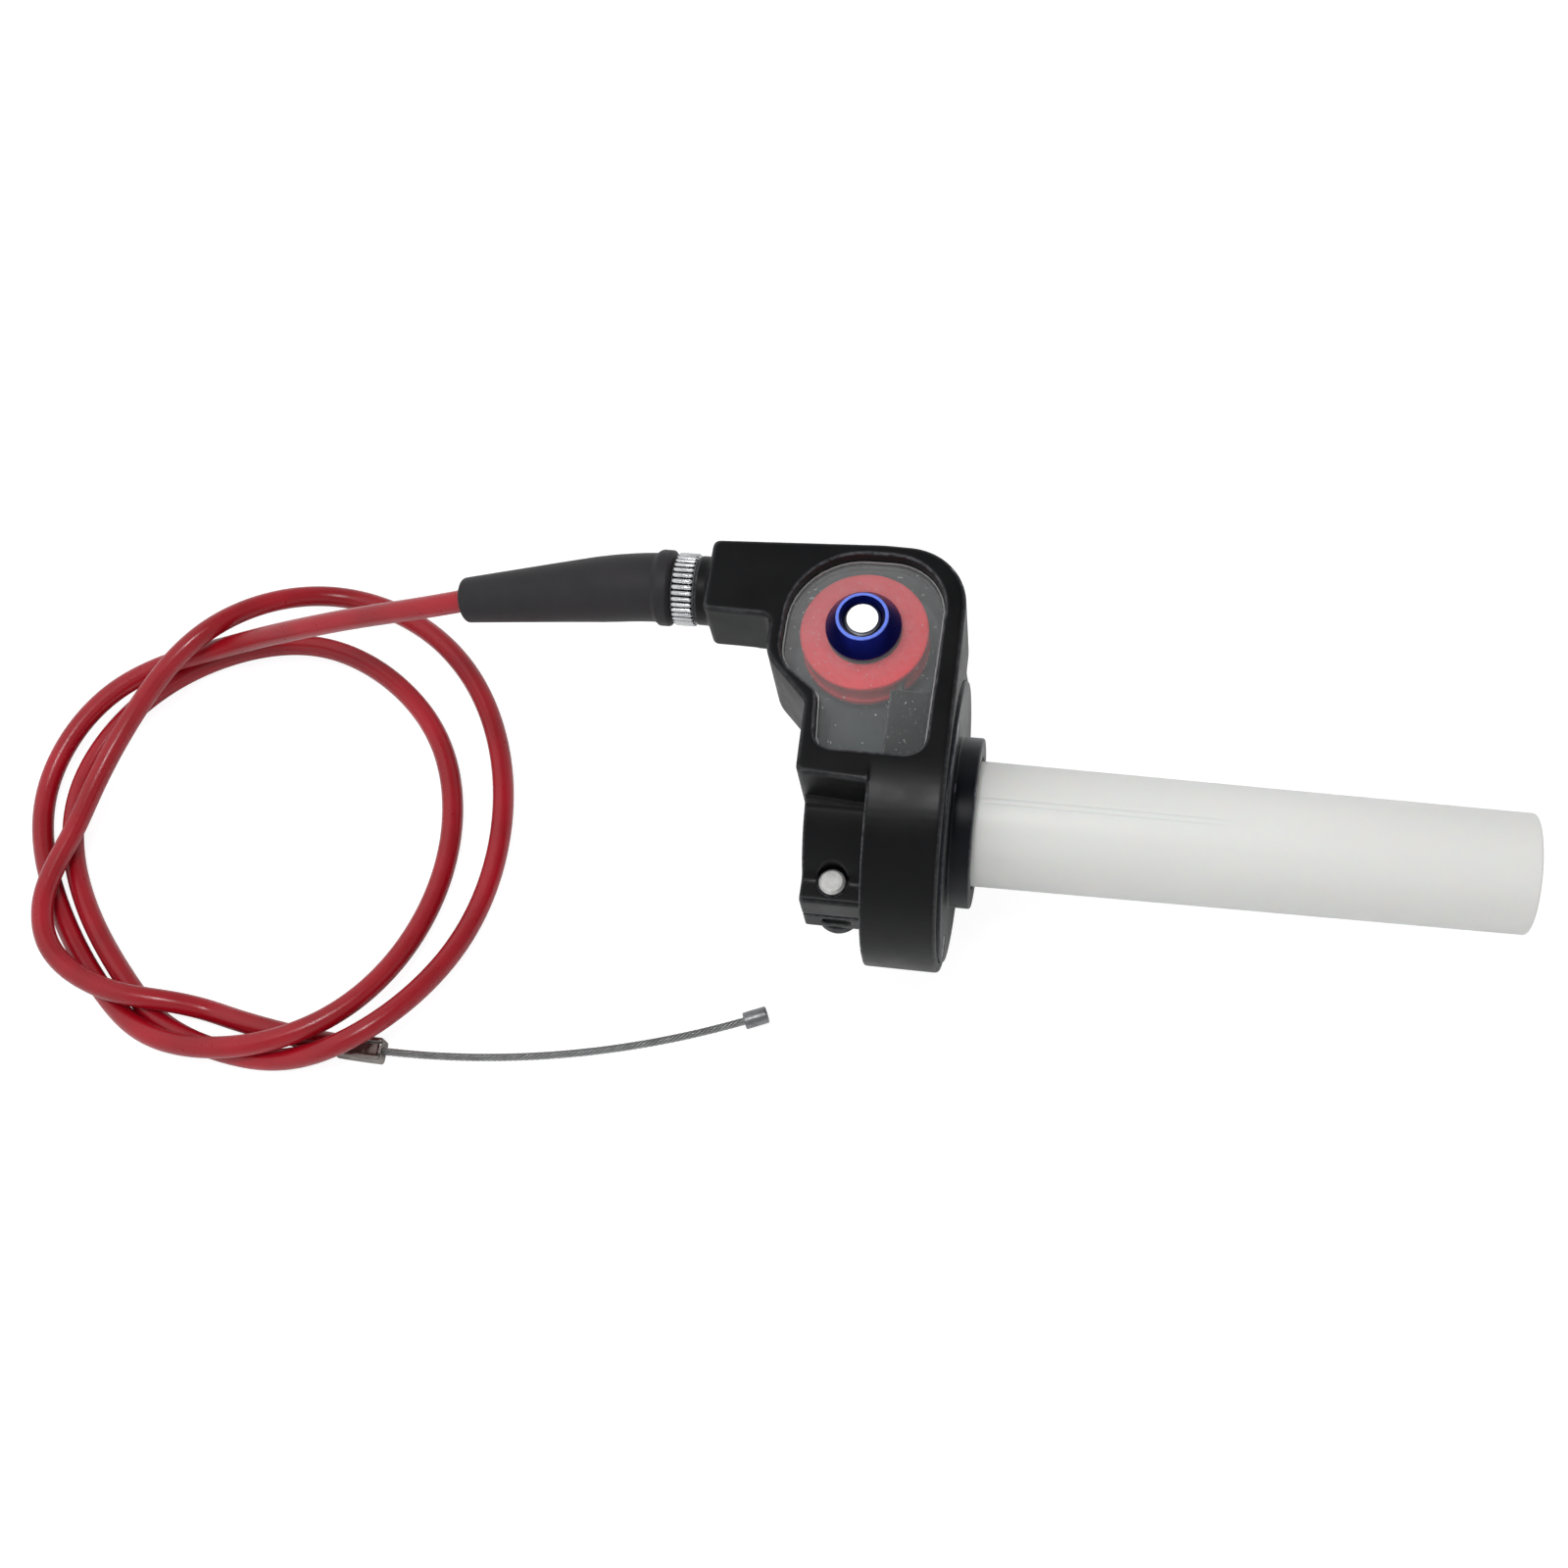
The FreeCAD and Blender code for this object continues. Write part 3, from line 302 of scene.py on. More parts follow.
def clear_pane(name):
    """Polycarbonate: see-through, with dust, a milky veil that is partly haze and partly a painted
    reflection, stronger towards one corner, and a painted highlight on the bevelled edge.
    """
    shader = Shader(name)
    nodes = shader.tree.nodes
    shader.set(Roughness=0.08, Specular_IOR_Level=0.5)
    film = shader.ramp(shader.noise(260.0, 6.0, 0.7), 0.3, 0.8, 0.6, 0.8)
    scratches = shader.ramp(shader.noise(900.0, 2.0, 0.5, (1.0, 0.04, 1.0)), 0.7, 0.8, 0.0, 0.2)
    shader.link(shader.combine("ADD", film, scratches), shader.surface, "Base Color")
    clear = nodes.new("ShaderNodeBsdfTransparent")
    clear.inputs["Color"].default_value = (0.93, 0.95, 0.95, 1)
    split = nodes.new("ShaderNodeSeparateXYZ")
    shader.link(nodes.new("ShaderNodeNewGeometry").outputs["Normal"], split, "Vector")
    upright = nodes.new("ShaderNodeMath")
    upright.operation = "ABSOLUTE"
    shader.link(split.outputs["Z"], upright, 0)
    # the bevel and edge walls turn milky white: a painted highlight along the pane's edge
    rim = shader.ramp(upright.outputs[0], 0.74, 0.98, 0.85, 0.0)
    # milkier towards one corner: partly haze, partly a painted reflection of a bright light
    across = nodes.new("ShaderNodeVectorMath")
    across.operation = "DOT_PRODUCT"
    across.inputs[1].default_value = (-0.6, 0.8, 0)
    shader.link(shader.position, across, 0)
    corner_haze_and_reflection = shader.ramp(across.outputs["Value"], 0.0, 0.045, 0.055, 0.15)
    haze_and_painted_reflection = shader.combine("ADD", rim, corner_haze_and_reflection, True)
    dust = shader.ramp(shader.noise(1500.0, 2.0, 0.5), 0.69, 0.78, 0.0, 0.45)
    mixer = nodes.new("ShaderNodeMixShader")
    shader.link(shader.combine("ADD", haze_and_painted_reflection, dust, True), mixer, "Fac")
    shader.link(clear.outputs[0], mixer, 1)
    shader.link(shader.surface.outputs[0], mixer, 2)
    shader.link(mixer.outputs[0], shader.output, "Surface")
    return shader.material


MATERIALS = {
    # each moulded_plastic's second colour is its paler edge colour: partly rubbed wear, partly a painted
    # highlight
    "case": moulded_plastic("satin_black_case", srgb(12, 12, 14), srgb(132, 133, 138), 0.38),
    "cover": moulded_plastic("satin_black_cover", srgb(17, 18, 24), srgb(120, 122, 132), 0.32),
    "rubber": rubber("black_rubber", srgb(37, 35, 37)),
    "pvc": pvc("red_pvc", srgb(142, 10, 26), srgb(168, 16, 36)),
    "chrome": metal("chrome_knurl", srgb(240, 241, 243), 0.24, 0.06, 0.004, 400.0, 0.8),
    # the knurl's grooves are painted dark grey as painted shade
    "groove": metal("knurl_groove_painted_shade", srgb(48, 50, 54), 0.45, 0.1, 0.01),
    "blue": metal("blue_anodised", srgb(40, 48, 150), 0.26, 0.08, 0.01, 900.0),
    # lighter blue for the nut's rim is a painted highlight; darker blue for its inside is painted shade
    "blue_rim_painted_highlight": metal("blue_rim_painted_highlight", srgb(112, 140, 255), 0.4, 0.08, 0.01, 900.0, 0.15),
    "blue_bore_painted_shade": metal("blue_bore_painted_shade", srgb(20, 26, 84), 0.35, 0.1, 0.01, 900.0),
    "steel": metal("zinc_plated_steel", srgb(220, 221, 223), 0.3, 0.14, 0.02),
    "bright": bright_end("glowing_end_painted_highlight"),
    "dark_steel": metal("blackened_steel", srgb(52, 52, 55), 0.42, 0.15, 0.02, 600.0, 0.7),
    "faced": metal("faced_steel", srgb(214, 213, 210), 0.4, 0.15, 0.03, 700.0, 0.35),
    "wire": metal("galvanised_wire", srgb(168, 168, 168), 0.34, 0.14, 0.02),
    "zinc": metal("crimped_zinc", srgb(158, 151, 145), 0.34, 0.18, 0.08, 260.0),
    "cast": metal("cast_zinc", srgb(160, 160, 162), 0.34, 0.2, 0.08, 500.0),
    "bronze": metal("bronze_bush", srgb(190, 140, 80), 0.3, 0.1, 0.02),
    "white": nylon("white_nylon", srgb(228, 228, 225), srgb(218, 218, 214)),
    "black_nylon": moulded_plastic("black_nylon", srgb(30, 30, 30), srgb(80, 80, 80), 0.5),
    "red": moulded_plastic("red_pulley_nylon", srgb(236, 34, 50), srgb(240, 90, 100), 0.4, 0.01),
    # a lighter grey for the chamber floor under the window
    "chamber_floor_grey": moulded_plastic("chamber_floor_lighter_grey", srgb(76, 80, 82), srgb(120, 124, 124), 0.5),
    "pane": clear_pane("clear_pane"),
}


# ---- mesh helpers: all work in millimetres -----------------------------------------
def make_piece(name, verts, faces, material, body, replaces=(), smooth_angle=40.0):
    mesh = bpy.data.meshes.new(name)
    mesh.from_pydata([tuple(np.array(v) * MM) for v in verts], [], faces)
    return finish_piece(name, mesh, material, body, replaces, smooth_angle)


def finish_piece(name, mesh, material, body, replaces=(), smooth_angle=40.0):
    bm = bmesh.new()
    bm.from_mesh(mesh)
    bmesh.ops.remove_doubles(bm, verts=bm.verts, dist=1e-7)
    bmesh.ops.recalc_face_normals(bm, faces=bm.faces)
    limit = math.radians(smooth_angle)
    for face in bm.faces:
        face.smooth = True
    for edge in bm.edges:
        if len(edge.link_faces) == 2 and edge.calc_face_angle(0) > limit:
            edge.smooth = False
    bm.to_mesh(mesh)
    bm.free()
    mesh.materials.clear()
    mesh.materials.append(MATERIALS[material])
    piece = bpy.data.objects.new(name, mesh)
    bpy.context.scene.collection.objects.link(piece)
    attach(piece, body)
    if replaces:
        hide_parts(*replaces)
    return piece


def paint(piece, material, wanted):
    """Give a second material to the faces whose middle, in millimetres, passes a test."""
    piece.data.materials.append(MATERIALS[material])
    index = len(piece.data.materials) - 1
    for face in piece.data.polygons:
        if wanted(np.array(face.center) / MM):
            face.material_index = index


def rounded_loop(corners, arc_steps=5):
    """Points along an outline of (x, y, corner radius); an open one has no radius at its two ends."""
    points = []
    count = len(corners)
    for i, (x, y, radius) in enumerate(corners):
        here = np.array((x, y))
        back = np.array(corners[i - 1][:2]) - here
        ahead = np.array(corners[(i + 1) % count][:2]) - here
        back = back / np.linalg.norm(back)
        ahead = ahead / np.linalg.norm(ahead)
        if not radius:
            points.append(here)
            continue
        half = math.acos(float(np.clip(back @ ahead, -1, 1))) / 2
        middle = (back + ahead) / np.linalg.norm(back + ahead)
        centre = here + middle * radius / math.sin(half)
        start = here + back * radius / math.tan(half) - centre
        end = here + ahead * radius / math.tan(half) - centre
        turn = math.atan2(start[0] * end[1] - start[1] * end[0], start @ end)
        for k in range(arc_steps + 1):
            a = turn * k / arc_steps
            c, s = math.cos(a), math.sin(a)
            points.append(centre + np.array((c * start[0] - s * start[1], s * start[0] + c * start[1])))
    return points


def ring_faces(rings, width, closed=False):
    """Quads between successive rings of points; closed joins the last ring to the first."""
    faces = []
    for i in range(rings if closed else rings - 1):
        near = i * width
        far = (i + 1) % rings * width
        for k in range(width):
            n = (k + 1) % width
            faces.append((near + k, near + n, far + n, far + k))
    return faces


def circle(centre, first, second, radius, steps):
    """Points round a circle spanned by two square directions."""
    turns = [TAU * k / steps for k in range(steps)]
    return [centre + (first * math.cos(a) + second * math.sin(a)) * radius for a in turns]


def append_part(verts, faces, part_verts, part_faces):
    """Add one closed part to a growing mesh."""
    offset = len(verts)
    verts.extend(part_verts)
    faces.extend(tuple(i + offset for i in face) for face in part_faces)


def axis_frame(axis):
    """Two directions square to an axis given as a unit tuple."""
    axis = np.array(axis, float)
    helper = np.array((0, 0, 1.0)) if abs(axis[2]) < 0.9 else np.array((0, 1.0, 0))
    first = np.cross(helper, axis)
    first /= np.linalg.norm(first)
    return first, np.cross(axis, first)


def lathe_data(profile, centre, axis, steps=96):
    """Turn (along, radius) points about an axis; zero radius closes an end."""
    axis = np.array(axis, float)
    centre = np.array(centre, float)
    first, second = axis_frame(axis)
    verts = []
    rows = []
    for along, radius in profile:
        if radius < 1e-6:
            verts.append(centre + axis * along)
            rows.append([len(verts) - 1])
            continue
        verts.extend(circle(centre + axis * along, first, second, radius, steps))
        rows.append(list(range(len(verts) - steps, len(verts))))
    faces = []
    for low, high in zip(rows, rows[1:]):
        for k in range(steps):
            n = (k + 1) % steps
            if len(low) == 1 and len(high) == 1:
                continue
            if len(low) == 1:
                faces.append((low[0], high[k], high[n]))
            elif len(high) == 1:
                faces.append((low[k], low[n], high[0]))
            else:
                faces.append((low[k], low[n], high[n], high[k]))
    return verts, faces


def lathe(name, corners, centre, axis, material, body, replaces=(), steps=96, closed=False):
    """A turned piece; a closed profile goes round a bore."""
    profile = rounded_loop(corners)
    if closed:
        profile.append(profile[0])
    verts, faces = lathe_data(profile, centre, axis, steps)
    return make_piece(name, verts, faces, material, body, replaces, TURNED_SMOOTH)


def spline(points, step):
    """Even-stepped points on a natural cubic through the given points."""
    points = np.array(points, float)
    knots = np.concatenate(([0], np.cumsum(np.linalg.norm(np.diff(points, axis=0), axis=1))))
    count = len(points)
    gaps = np.diff(knots)
    matrix = np.zeros((count, count))
    right = np.zeros((count, 3))
    matrix[0, 0] = matrix[-1, -1] = 1
    for i in range(1, count - 1):
        matrix[i, i - 1:i + 2] = gaps[i - 1], 2 * (gaps[i - 1] + gaps[i]), gaps[i]
        slope_after = (points[i + 1] - points[i]) / gaps[i]
        slope_before = (points[i] - points[i - 1]) / gaps[i - 1]
        right[i] = 6 * (slope_after - slope_before)
    bend = np.linalg.solve(matrix, right)
    dense = np.linspace(0, knots[-1], int(knots[-1] / 0.25))
    place = np.clip(np.searchsorted(knots, dense, side="right") - 1, 0, count - 2)
    gap = gaps[place][:, None]
    left = (dense - knots[place])[:, None]
    rest = gap - left
    curve = (bend[place] * rest ** 3 + bend[place + 1] * left ** 3) / (6 * gap)
    curve += (points[place] / gap - bend[place] * gap / 6) * rest
    curve += (points[place + 1] / gap - bend[place + 1] * gap / 6) * left
    along = np.concatenate(([0], np.cumsum(np.linalg.norm(np.diff(curve, axis=0), axis=1))))
    even = np.linspace(0, along[-1], max(2, int(round(along[-1] / step)) + 1))
    return np.stack([np.interp(even, along, curve[:, k]) for k in range(3)], axis=1)


def path_frames(points):
    """Two twist-free side directions along a path."""
    tangents = np.gradient(points, axis=0)
    tangents /= np.linalg.norm(tangents, axis=1)[:, None]
    side = np.cross(tangents[0], (0, 0, 1.0))
    side /= np.linalg.norm(side)
    sides = []
    for tangent in tangents:
        side = side - tangent * (side @ tangent)
        side /= np.linalg.norm(side)
        sides.append(side)
    sides = np.array(sides)
    return sides, np.cross(tangents, sides)


def sweep_data(points, radius, steps, caps=True):
    """A round tube along a path."""
    sides, ups = path_frames(points)
    verts = []
    for point, side, up in zip(points, sides, ups):
        verts.extend(circle(point, side, up, radius, steps))
    faces = ring_faces(len(points), steps)
    if caps:
        faces.append(tuple(range(steps))[::-1])
        faces.append(tuple(range((len(points) - 1) * steps, len(points) * steps)))
    return verts, faces


def round_centre(centre, radius, angle, z):
    """A point at an angle in degrees and a radius about an upright axis."""
    turn = math.radians(angle)
    return np.array((centre[0] + radius * math.cos(turn), centre[1] + radius * math.sin(turn), z))


def tail_point(angle, across=0.0, up=0.0):
    """A point on or beside the tail's arc: across is outward, away from the arc's centre."""
    return round_centre(TAIL_CENTRE, TAIL_R + across, angle, STRAND_Z + up)


def plain_object(name, verts, faces):
    """A bare object in millimetres that a modifier works from or with."""
    mesh = bpy.data.meshes.new(name)
    mesh.from_pydata([tuple(np.array(v) * MM) for v in verts], [], faces)
    bm = bmesh.new()
    bm.from_mesh(mesh)
    bmesh.ops.remove_doubles(bm, verts=bm.verts, dist=1e-7)
    bmesh.ops.recalc_face_normals(bm, faces=bm.faces)
    bm.to_mesh(mesh)
    bm.free()
    piece = bpy.data.objects.new(name, mesh)
    bpy.context.scene.collection.objects.link(piece)
    return piece


def evaluated_mesh(piece):
    """The mesh that an object's modifiers make."""
    bpy.context.view_layer.update()
    return bpy.data.meshes.new_from_object(piece.evaluated_get(bpy.context.evaluated_depsgraph_get()))


def softened(node, name, material, body, voxel, rounds):
    """A moulded copy of a CAD node: every hard edge melts to a small radius."""
    piece = bpy.data.objects.new(name, NODES[node].data.copy())
    bpy.context.scene.collection.objects.link(piece)
    remesh = piece.modifiers.new("remesh", "REMESH")
    remesh.mode = "VOXEL"
    remesh.voxel_size = voxel * MM
    remesh.use_smooth_shade = True
    smooth = piece.modifiers.new("smooth", "SMOOTH")
    smooth.factor = 0.5
    smooth.iterations = rounds
    final = evaluated_mesh(piece)
    bpy.data.objects.remove(piece)
    return finish_piece(name, final, material, body, (node,), 180.0)


# ---- pieces on the housing -----------------------------------------------------------
def inside_outline(x, y, outline):
    """Whether a point lies inside a closed outline, by counting crossings."""
    ahead = np.roll(outline, -1, axis=0)
    spans = (outline[:, 1] > y) != (ahead[:, 1] > y)
    rise = np.where(spans, ahead[:, 1] - outline[:, 1], 1.0)
    cross_x = outline[:, 0] + (y - outline[:, 1]) * (ahead[:, 0] - outline[:, 0]) / rise
    return bool(np.count_nonzero(spans & (x < cross_x)) % 2)


def build_housing():
    case = softened("housing_body", "case", "case", "housing", 0.32, 4)
    outline = np.array(rounded_loop(WINDOW_CORNERS, 8))
    low = CHAMBER_FLOOR_Z - 0.6
    high = SHELF_Z - 0.4
    # faces of the chamber floor under the window are coloured a lighter grey than the case
    paint(case, "chamber_floor_grey", lambda p: low < p[2] < high and inside_outline(p[0], p[1], outline))
    softened("clamp_cap", "clamp_lower_half", "case", "housing", 0.32, 4)


def build_side_cover():
    """Disc and collar, turned in one, with three countersunk screw holes."""
    bore_r = TUBE_R + 0.05
    gap_r = 14.9
    inner_x = 10.3
    gap_floor_x = 19.0
    profile = rounded_loop((
        (inner_x, bore_r, 0), (inner_x, COLLAR_R, 0.3), (COVER_SEAT_X, COLLAR_R, 0.3),
        (COVER_SEAT_X, COVER_R, 0.2), (COVER_FACE_X, COVER_R, 0.35),
        (COVER_FACE_X, COLLAR_R, 0.5), (COLLAR_END_X, COLLAR_R, 0.45),
        (COLLAR_END_X, gap_r, 0.25), (gap_floor_x, gap_r, 0.1), (gap_floor_x, bore_r, 0),
    ))
    verts, faces = lathe_data(profile + profile[:1], (0, 0, 0), (1, 0, 0), 160)
    cover = plain_object("cover_blank", verts, faces)
    cutters = []
    shank_r = 1.6
    sink_r = 2.8
    sink = (
        (COVER_SEAT_X - 1, 0), (COVER_SEAT_X - 1, shank_r), (COVER_FACE_X - 1.6, shank_r),
        (COVER_FACE_X - 0.3, sink_r), (COVER_FACE_X + 1, sink_r), (COVER_FACE_X + 1, 0),
    )
    for angle in COVER_SCREW_ANGLES:
        turn = math.radians(angle)
        centre = (0, COVER_SCREW_CIRCLE * math.cos(turn), COVER_SCREW_CIRCLE * math.sin(turn))
        cutters.append(plain_object("screw_cutter", *lathe_data(sink, centre, (1, 0, 0), 48)))
    for cutter in cutters:
        hole = cover.modifiers.new("hole", "BOOLEAN")
        hole.operation = "DIFFERENCE"
        hole.solver = "EXACT"
        hole.object = cutter
    mesh = evaluated_mesh(cover)
    for spare in cutters + [cover]:
        bpy.data.objects.remove(spare)
    finish_piece("side_cover_disc", mesh, "cover", "housing", ("side_cover",), TURNED_SMOOTH)


def build_cone_nut():
    """Blue cone screwed down on the pane; its flat rim is painted lighter blue as a painted highlight, its
    inside darker blue as painted shade.
    """
    base = PANE_HIGH[2]
    base_r = (NUT_HIGH[0] - NUT_LOW[0]) / 2
    top = NUT_HIGH[2]
    spigot_r = 5.1
    rim_r = 5.67
    bowl_r = 5.05
    bore_r = AXLE_R + 0.05
    nut = lathe("cone_nut_turned", (
        (NUT_LOW[2], bore_r, 0), (NUT_LOW[2], spigot_r, 0.1), (base, spigot_r, 0.1), (base, base_r, 0.15),
        (base + 0.5, base_r, 0.2), (top - 0.3, rim_r + 0.1, 0.15), (top, rim_r, 0.1), (top, bowl_r, 0.1),
        (top - 1.7, bore_r, 0.1),
    ), (PULLEY_X, PULLEY_Y, 0), UPWARD, "blue", "housing", ("cone_nut",), 128, True)

    def from_axis(p):
        return math.hypot(p[0] - PULLEY_X, p[1] - PULLEY_Y)

    # the flat rim is painted a lighter blue: a painted highlight
    paint(nut, "blue_rim_painted_highlight", lambda p: p[2] > top - 0.28 and from_axis(p) > bowl_r - 0.02)
    # the bowl inside is painted a darker blue: painted shade
    paint(nut, "blue_bore_painted_shade", lambda p: p[2] > top - 2 and from_axis(p) < bowl_r - 0.02)


def build_axle_bolt():
    """The axle, from its head behind the case to the faced end inside the cone."""
    tip = AXLE_HIGH[2]
    seat_z = 14.0
    bolt = lathe("pulley_axle", (
        (AXLE_LOW[2], 0, 0), (AXLE_LOW[2], 4.9, 0.5), (seat_z, 5.2, 0.1), (seat_z, AXLE_R, 0.1),
        (tip - 0.55, AXLE_R, 0.1), (tip - 0.3, 3.6, 0.1), (tip, 3.4, 0.06), (tip, 0, 0),
    ), (PULLEY_X, PULLEY_Y, 0), UPWARD, "steel", "housing", ("pulley_axle_bolt",))
    # the faced end gets the glowing painted highlight
    paint(bolt, "bright", lambda p: p[2] > tip - 0.03)


def build_pane():
    """The clear plate: an outline with a polished bevel, and a hole for the nut's spigot."""
    edge_gap = 0.12
    bevel = 0.38
    hole_r = 5.2
    hole_steps = 64
    outline = np.array(rounded_loop(WINDOW_CORNERS, 12))
    ahead = np.roll(outline, -1, axis=0) - np.roll(outline, 1, axis=0)
    normals = np.stack((-ahead[:, 1], ahead[:, 0]), axis=1)
    normals /= np.linalg.norm(normals, axis=1)[:, None]
    low, high = PANE_LOW[2], PANE_HIGH[2]
    levels = ((edge_gap, low), (edge_gap, high - bevel), (edge_gap + bevel, high))
    bm = bmesh.new()
    rings = []
    for inset, z in levels:
        rings.append([bm.verts.new((*((p + n * inset) * MM), z * MM)) for p, n in zip(outline, normals)])
    holes = []
    for z in (low, high):
        centre = np.array((PULLEY_X, PULLEY_Y, z))
        hole = circle(centre, np.array((1, 0, 0)), np.array((0, 1, 0)), hole_r, hole_steps)
        holes.append([bm.verts.new(tuple(p * MM)) for p in hole])

    def wall(ring_a, ring_b):
        for k in range(len(ring_a)):
            n = (k + 1) % len(ring_a)
            bm.faces.new((ring_a[k], ring_a[n], ring_b[n], ring_b[k]))

    for ring_a, ring_b in zip(rings, rings[1:]):
        wall(ring_a, ring_b)
    wall(holes[0], holes[1])
    for outer, hole in ((rings[0], holes[0]), (rings[-1], holes[1])):
        edges = []
        for ring in (outer, hole):
            for k in range(len(ring)):
                edges.append(bm.edges.get((ring[k], ring[(k + 1) % len(ring)])))
        bmesh.ops.triangle_fill(bm, edges=edges, use_beauty=True, use_dissolve=False)
    mesh = bpy.data.meshes.new("window_pane")
    bm.to_mesh(mesh)
    bm.free()
    finish_piece("window_pane", mesh, "pane", "housing", ("window",), 20.0)


def build_clamp_bolts():
    """Two bolts with dark socket heads below; one comes through, one ends in the case."""
    bolt_x = (BOLTS_LOW[0] + BOLTS_HIGH[0]) / 2
    head_r = 5.0
    seat_z = BOLTS_LOW[2] + 6
    head_z = seat_z - 3.6
    shank_r = 2.9
    blind_tip_z = 6.0
    verts = []
    faces = []
    for y, tip_z in ((BOLTS_LOW[1] + head_r, BOLTS_HIGH[2]), (BOLTS_HIGH[1] - head_r, blind_tip_z)):
        profile = rounded_loop((
            (head_z + 2, 0, 0), (head_z + 2, 2.5, 0.1), (head_z, 2.6, 0.1), (head_z, head_r, 0.5),
            (seat_z, head_r, 0.2), (seat_z, shank_r, 0.1), (tip_z - 0.75, shank_r, 0.12),
            (tip_z, shank_r - 0.6, 0.12), (tip_z, 0, 0),
        ))
        append_part(verts, faces, *lathe_data(profile, (bolt_x, y, 0), UPWARD, 72))
    pair = make_piece("clamp_bolt_pair", verts, faces, "steel", "housing", ("clamp_bolts",),
                      TURNED_SMOOTH)
    paint(pair, "faced", lambda p: p[2] > BOLTS_HIGH[2] - 1)
    paint(pair, "dark_steel", lambda p: p[2] < seat_z + 0.1)


# ---- pulley and twist tube -------------------------------------------------------------
def build_pulley():
    """Red disc with a flared groove for the wire."""
    low = PULLEY_LOW[2]
    high = PULLEY_HIGH[2]
    bore_r = 6.05
    flare_r = 9.2
    groove_r = 8.05
    half_groove = 0.95
    half_flare = 2.3
    lathe("guide_pulley", (
        (low, bore_r, 0), (low, PULLEY_R, 0.5), (WIRE_Z - half_flare, PULLEY_R, 0.35),
        (WIRE_Z - half_groove, flare_r, 0.5), (WIRE_Z - half_groove, groove_r, 0.6),
        (WIRE_Z + half_groove, groove_r, 0.6), (WIRE_Z + half_groove, flare_r, 0.5),
        (WIRE_Z + half_flare, PULLEY_R, 0.35), (high, PULLEY_R, 0.5), (high, bore_r, 0),
    ), (PULLEY_X, PULLEY_Y, 0), UPWARD, "red", "pulley", ("pulley",), 128, True)


def build_twist_tube():
    """Tapered tube with its flange inside the case."""
    start_x = TUBE_LOW[0]
    end_x = TUBE_HIGH[0]
    flange_r = 20.0
    lathe("twist_sleeve", (
        (start_x, TUBE_BORE_R, 0), (start_x, TUBE_R, 0.2), (8.2, TUBE_R, 0.1), (8.2, flange_r, 0.3),
        (10.2, flange_r, 0.3), (10.2, TUBE_R, 0.2), (COLLAR_END_X, TUBE_R, 0.5),
        (end_x, TUBE_END_R, 0.6), (end_x, TUBE_BORE_R, 0.45),
    ), (0, 0, 0), (1, 0, 0), "white", "twist_tube", ("twist_tube",), 160, True)


def build_tube_rib():
    """The low moulded rib along the top of the tube, fading out at both ends."""
    half = 0.78
    tall = 0.3
    sunk = 0.05
    start_x = COLLAR_END_X + 0.5
    end_x = 78.0
    stations = 28
    steps = 8
    rows = []
    for k in range(stations + 1):
        share = k / stations
        x = start_x + (end_x - start_x) * share
        surface = TUBE_R + (TUBE_END_R - TUBE_R) * (x - COLLAR_END_X) / (TUBE_HIGH[0] - COLLAR_END_X)
        end = min(1.0, (1 - share) * 8, share * 30 + 0.3)
        row = []
        for m in range(steps + 1):
            across = -half + 2 * half * m / steps
            rise = tall * end * max(0.0, math.cos(across / half * math.pi / 2)) ** 0.6 - sunk
            radius = surface + rise
            row.append(np.array((x, across, math.sqrt(radius ** 2 - across ** 2))))
        row.append(np.array((x, half, surface - 0.6)))
        row.append(np.array((x, -half, surface - 0.6)))
        rows.append(row)
    verts = [v for row in rows for v in row]
    width = len(rows[0])
    faces = ring_faces(len(rows), width)
    faces.append(tuple(range(width)))
    faces.append(tuple(range((len(rows) - 1) * width, len(rows) * width))[::-1])
    make_piece("twist_sleeve_rib", verts, faces, "white", "twist_tube", (), 50.0)


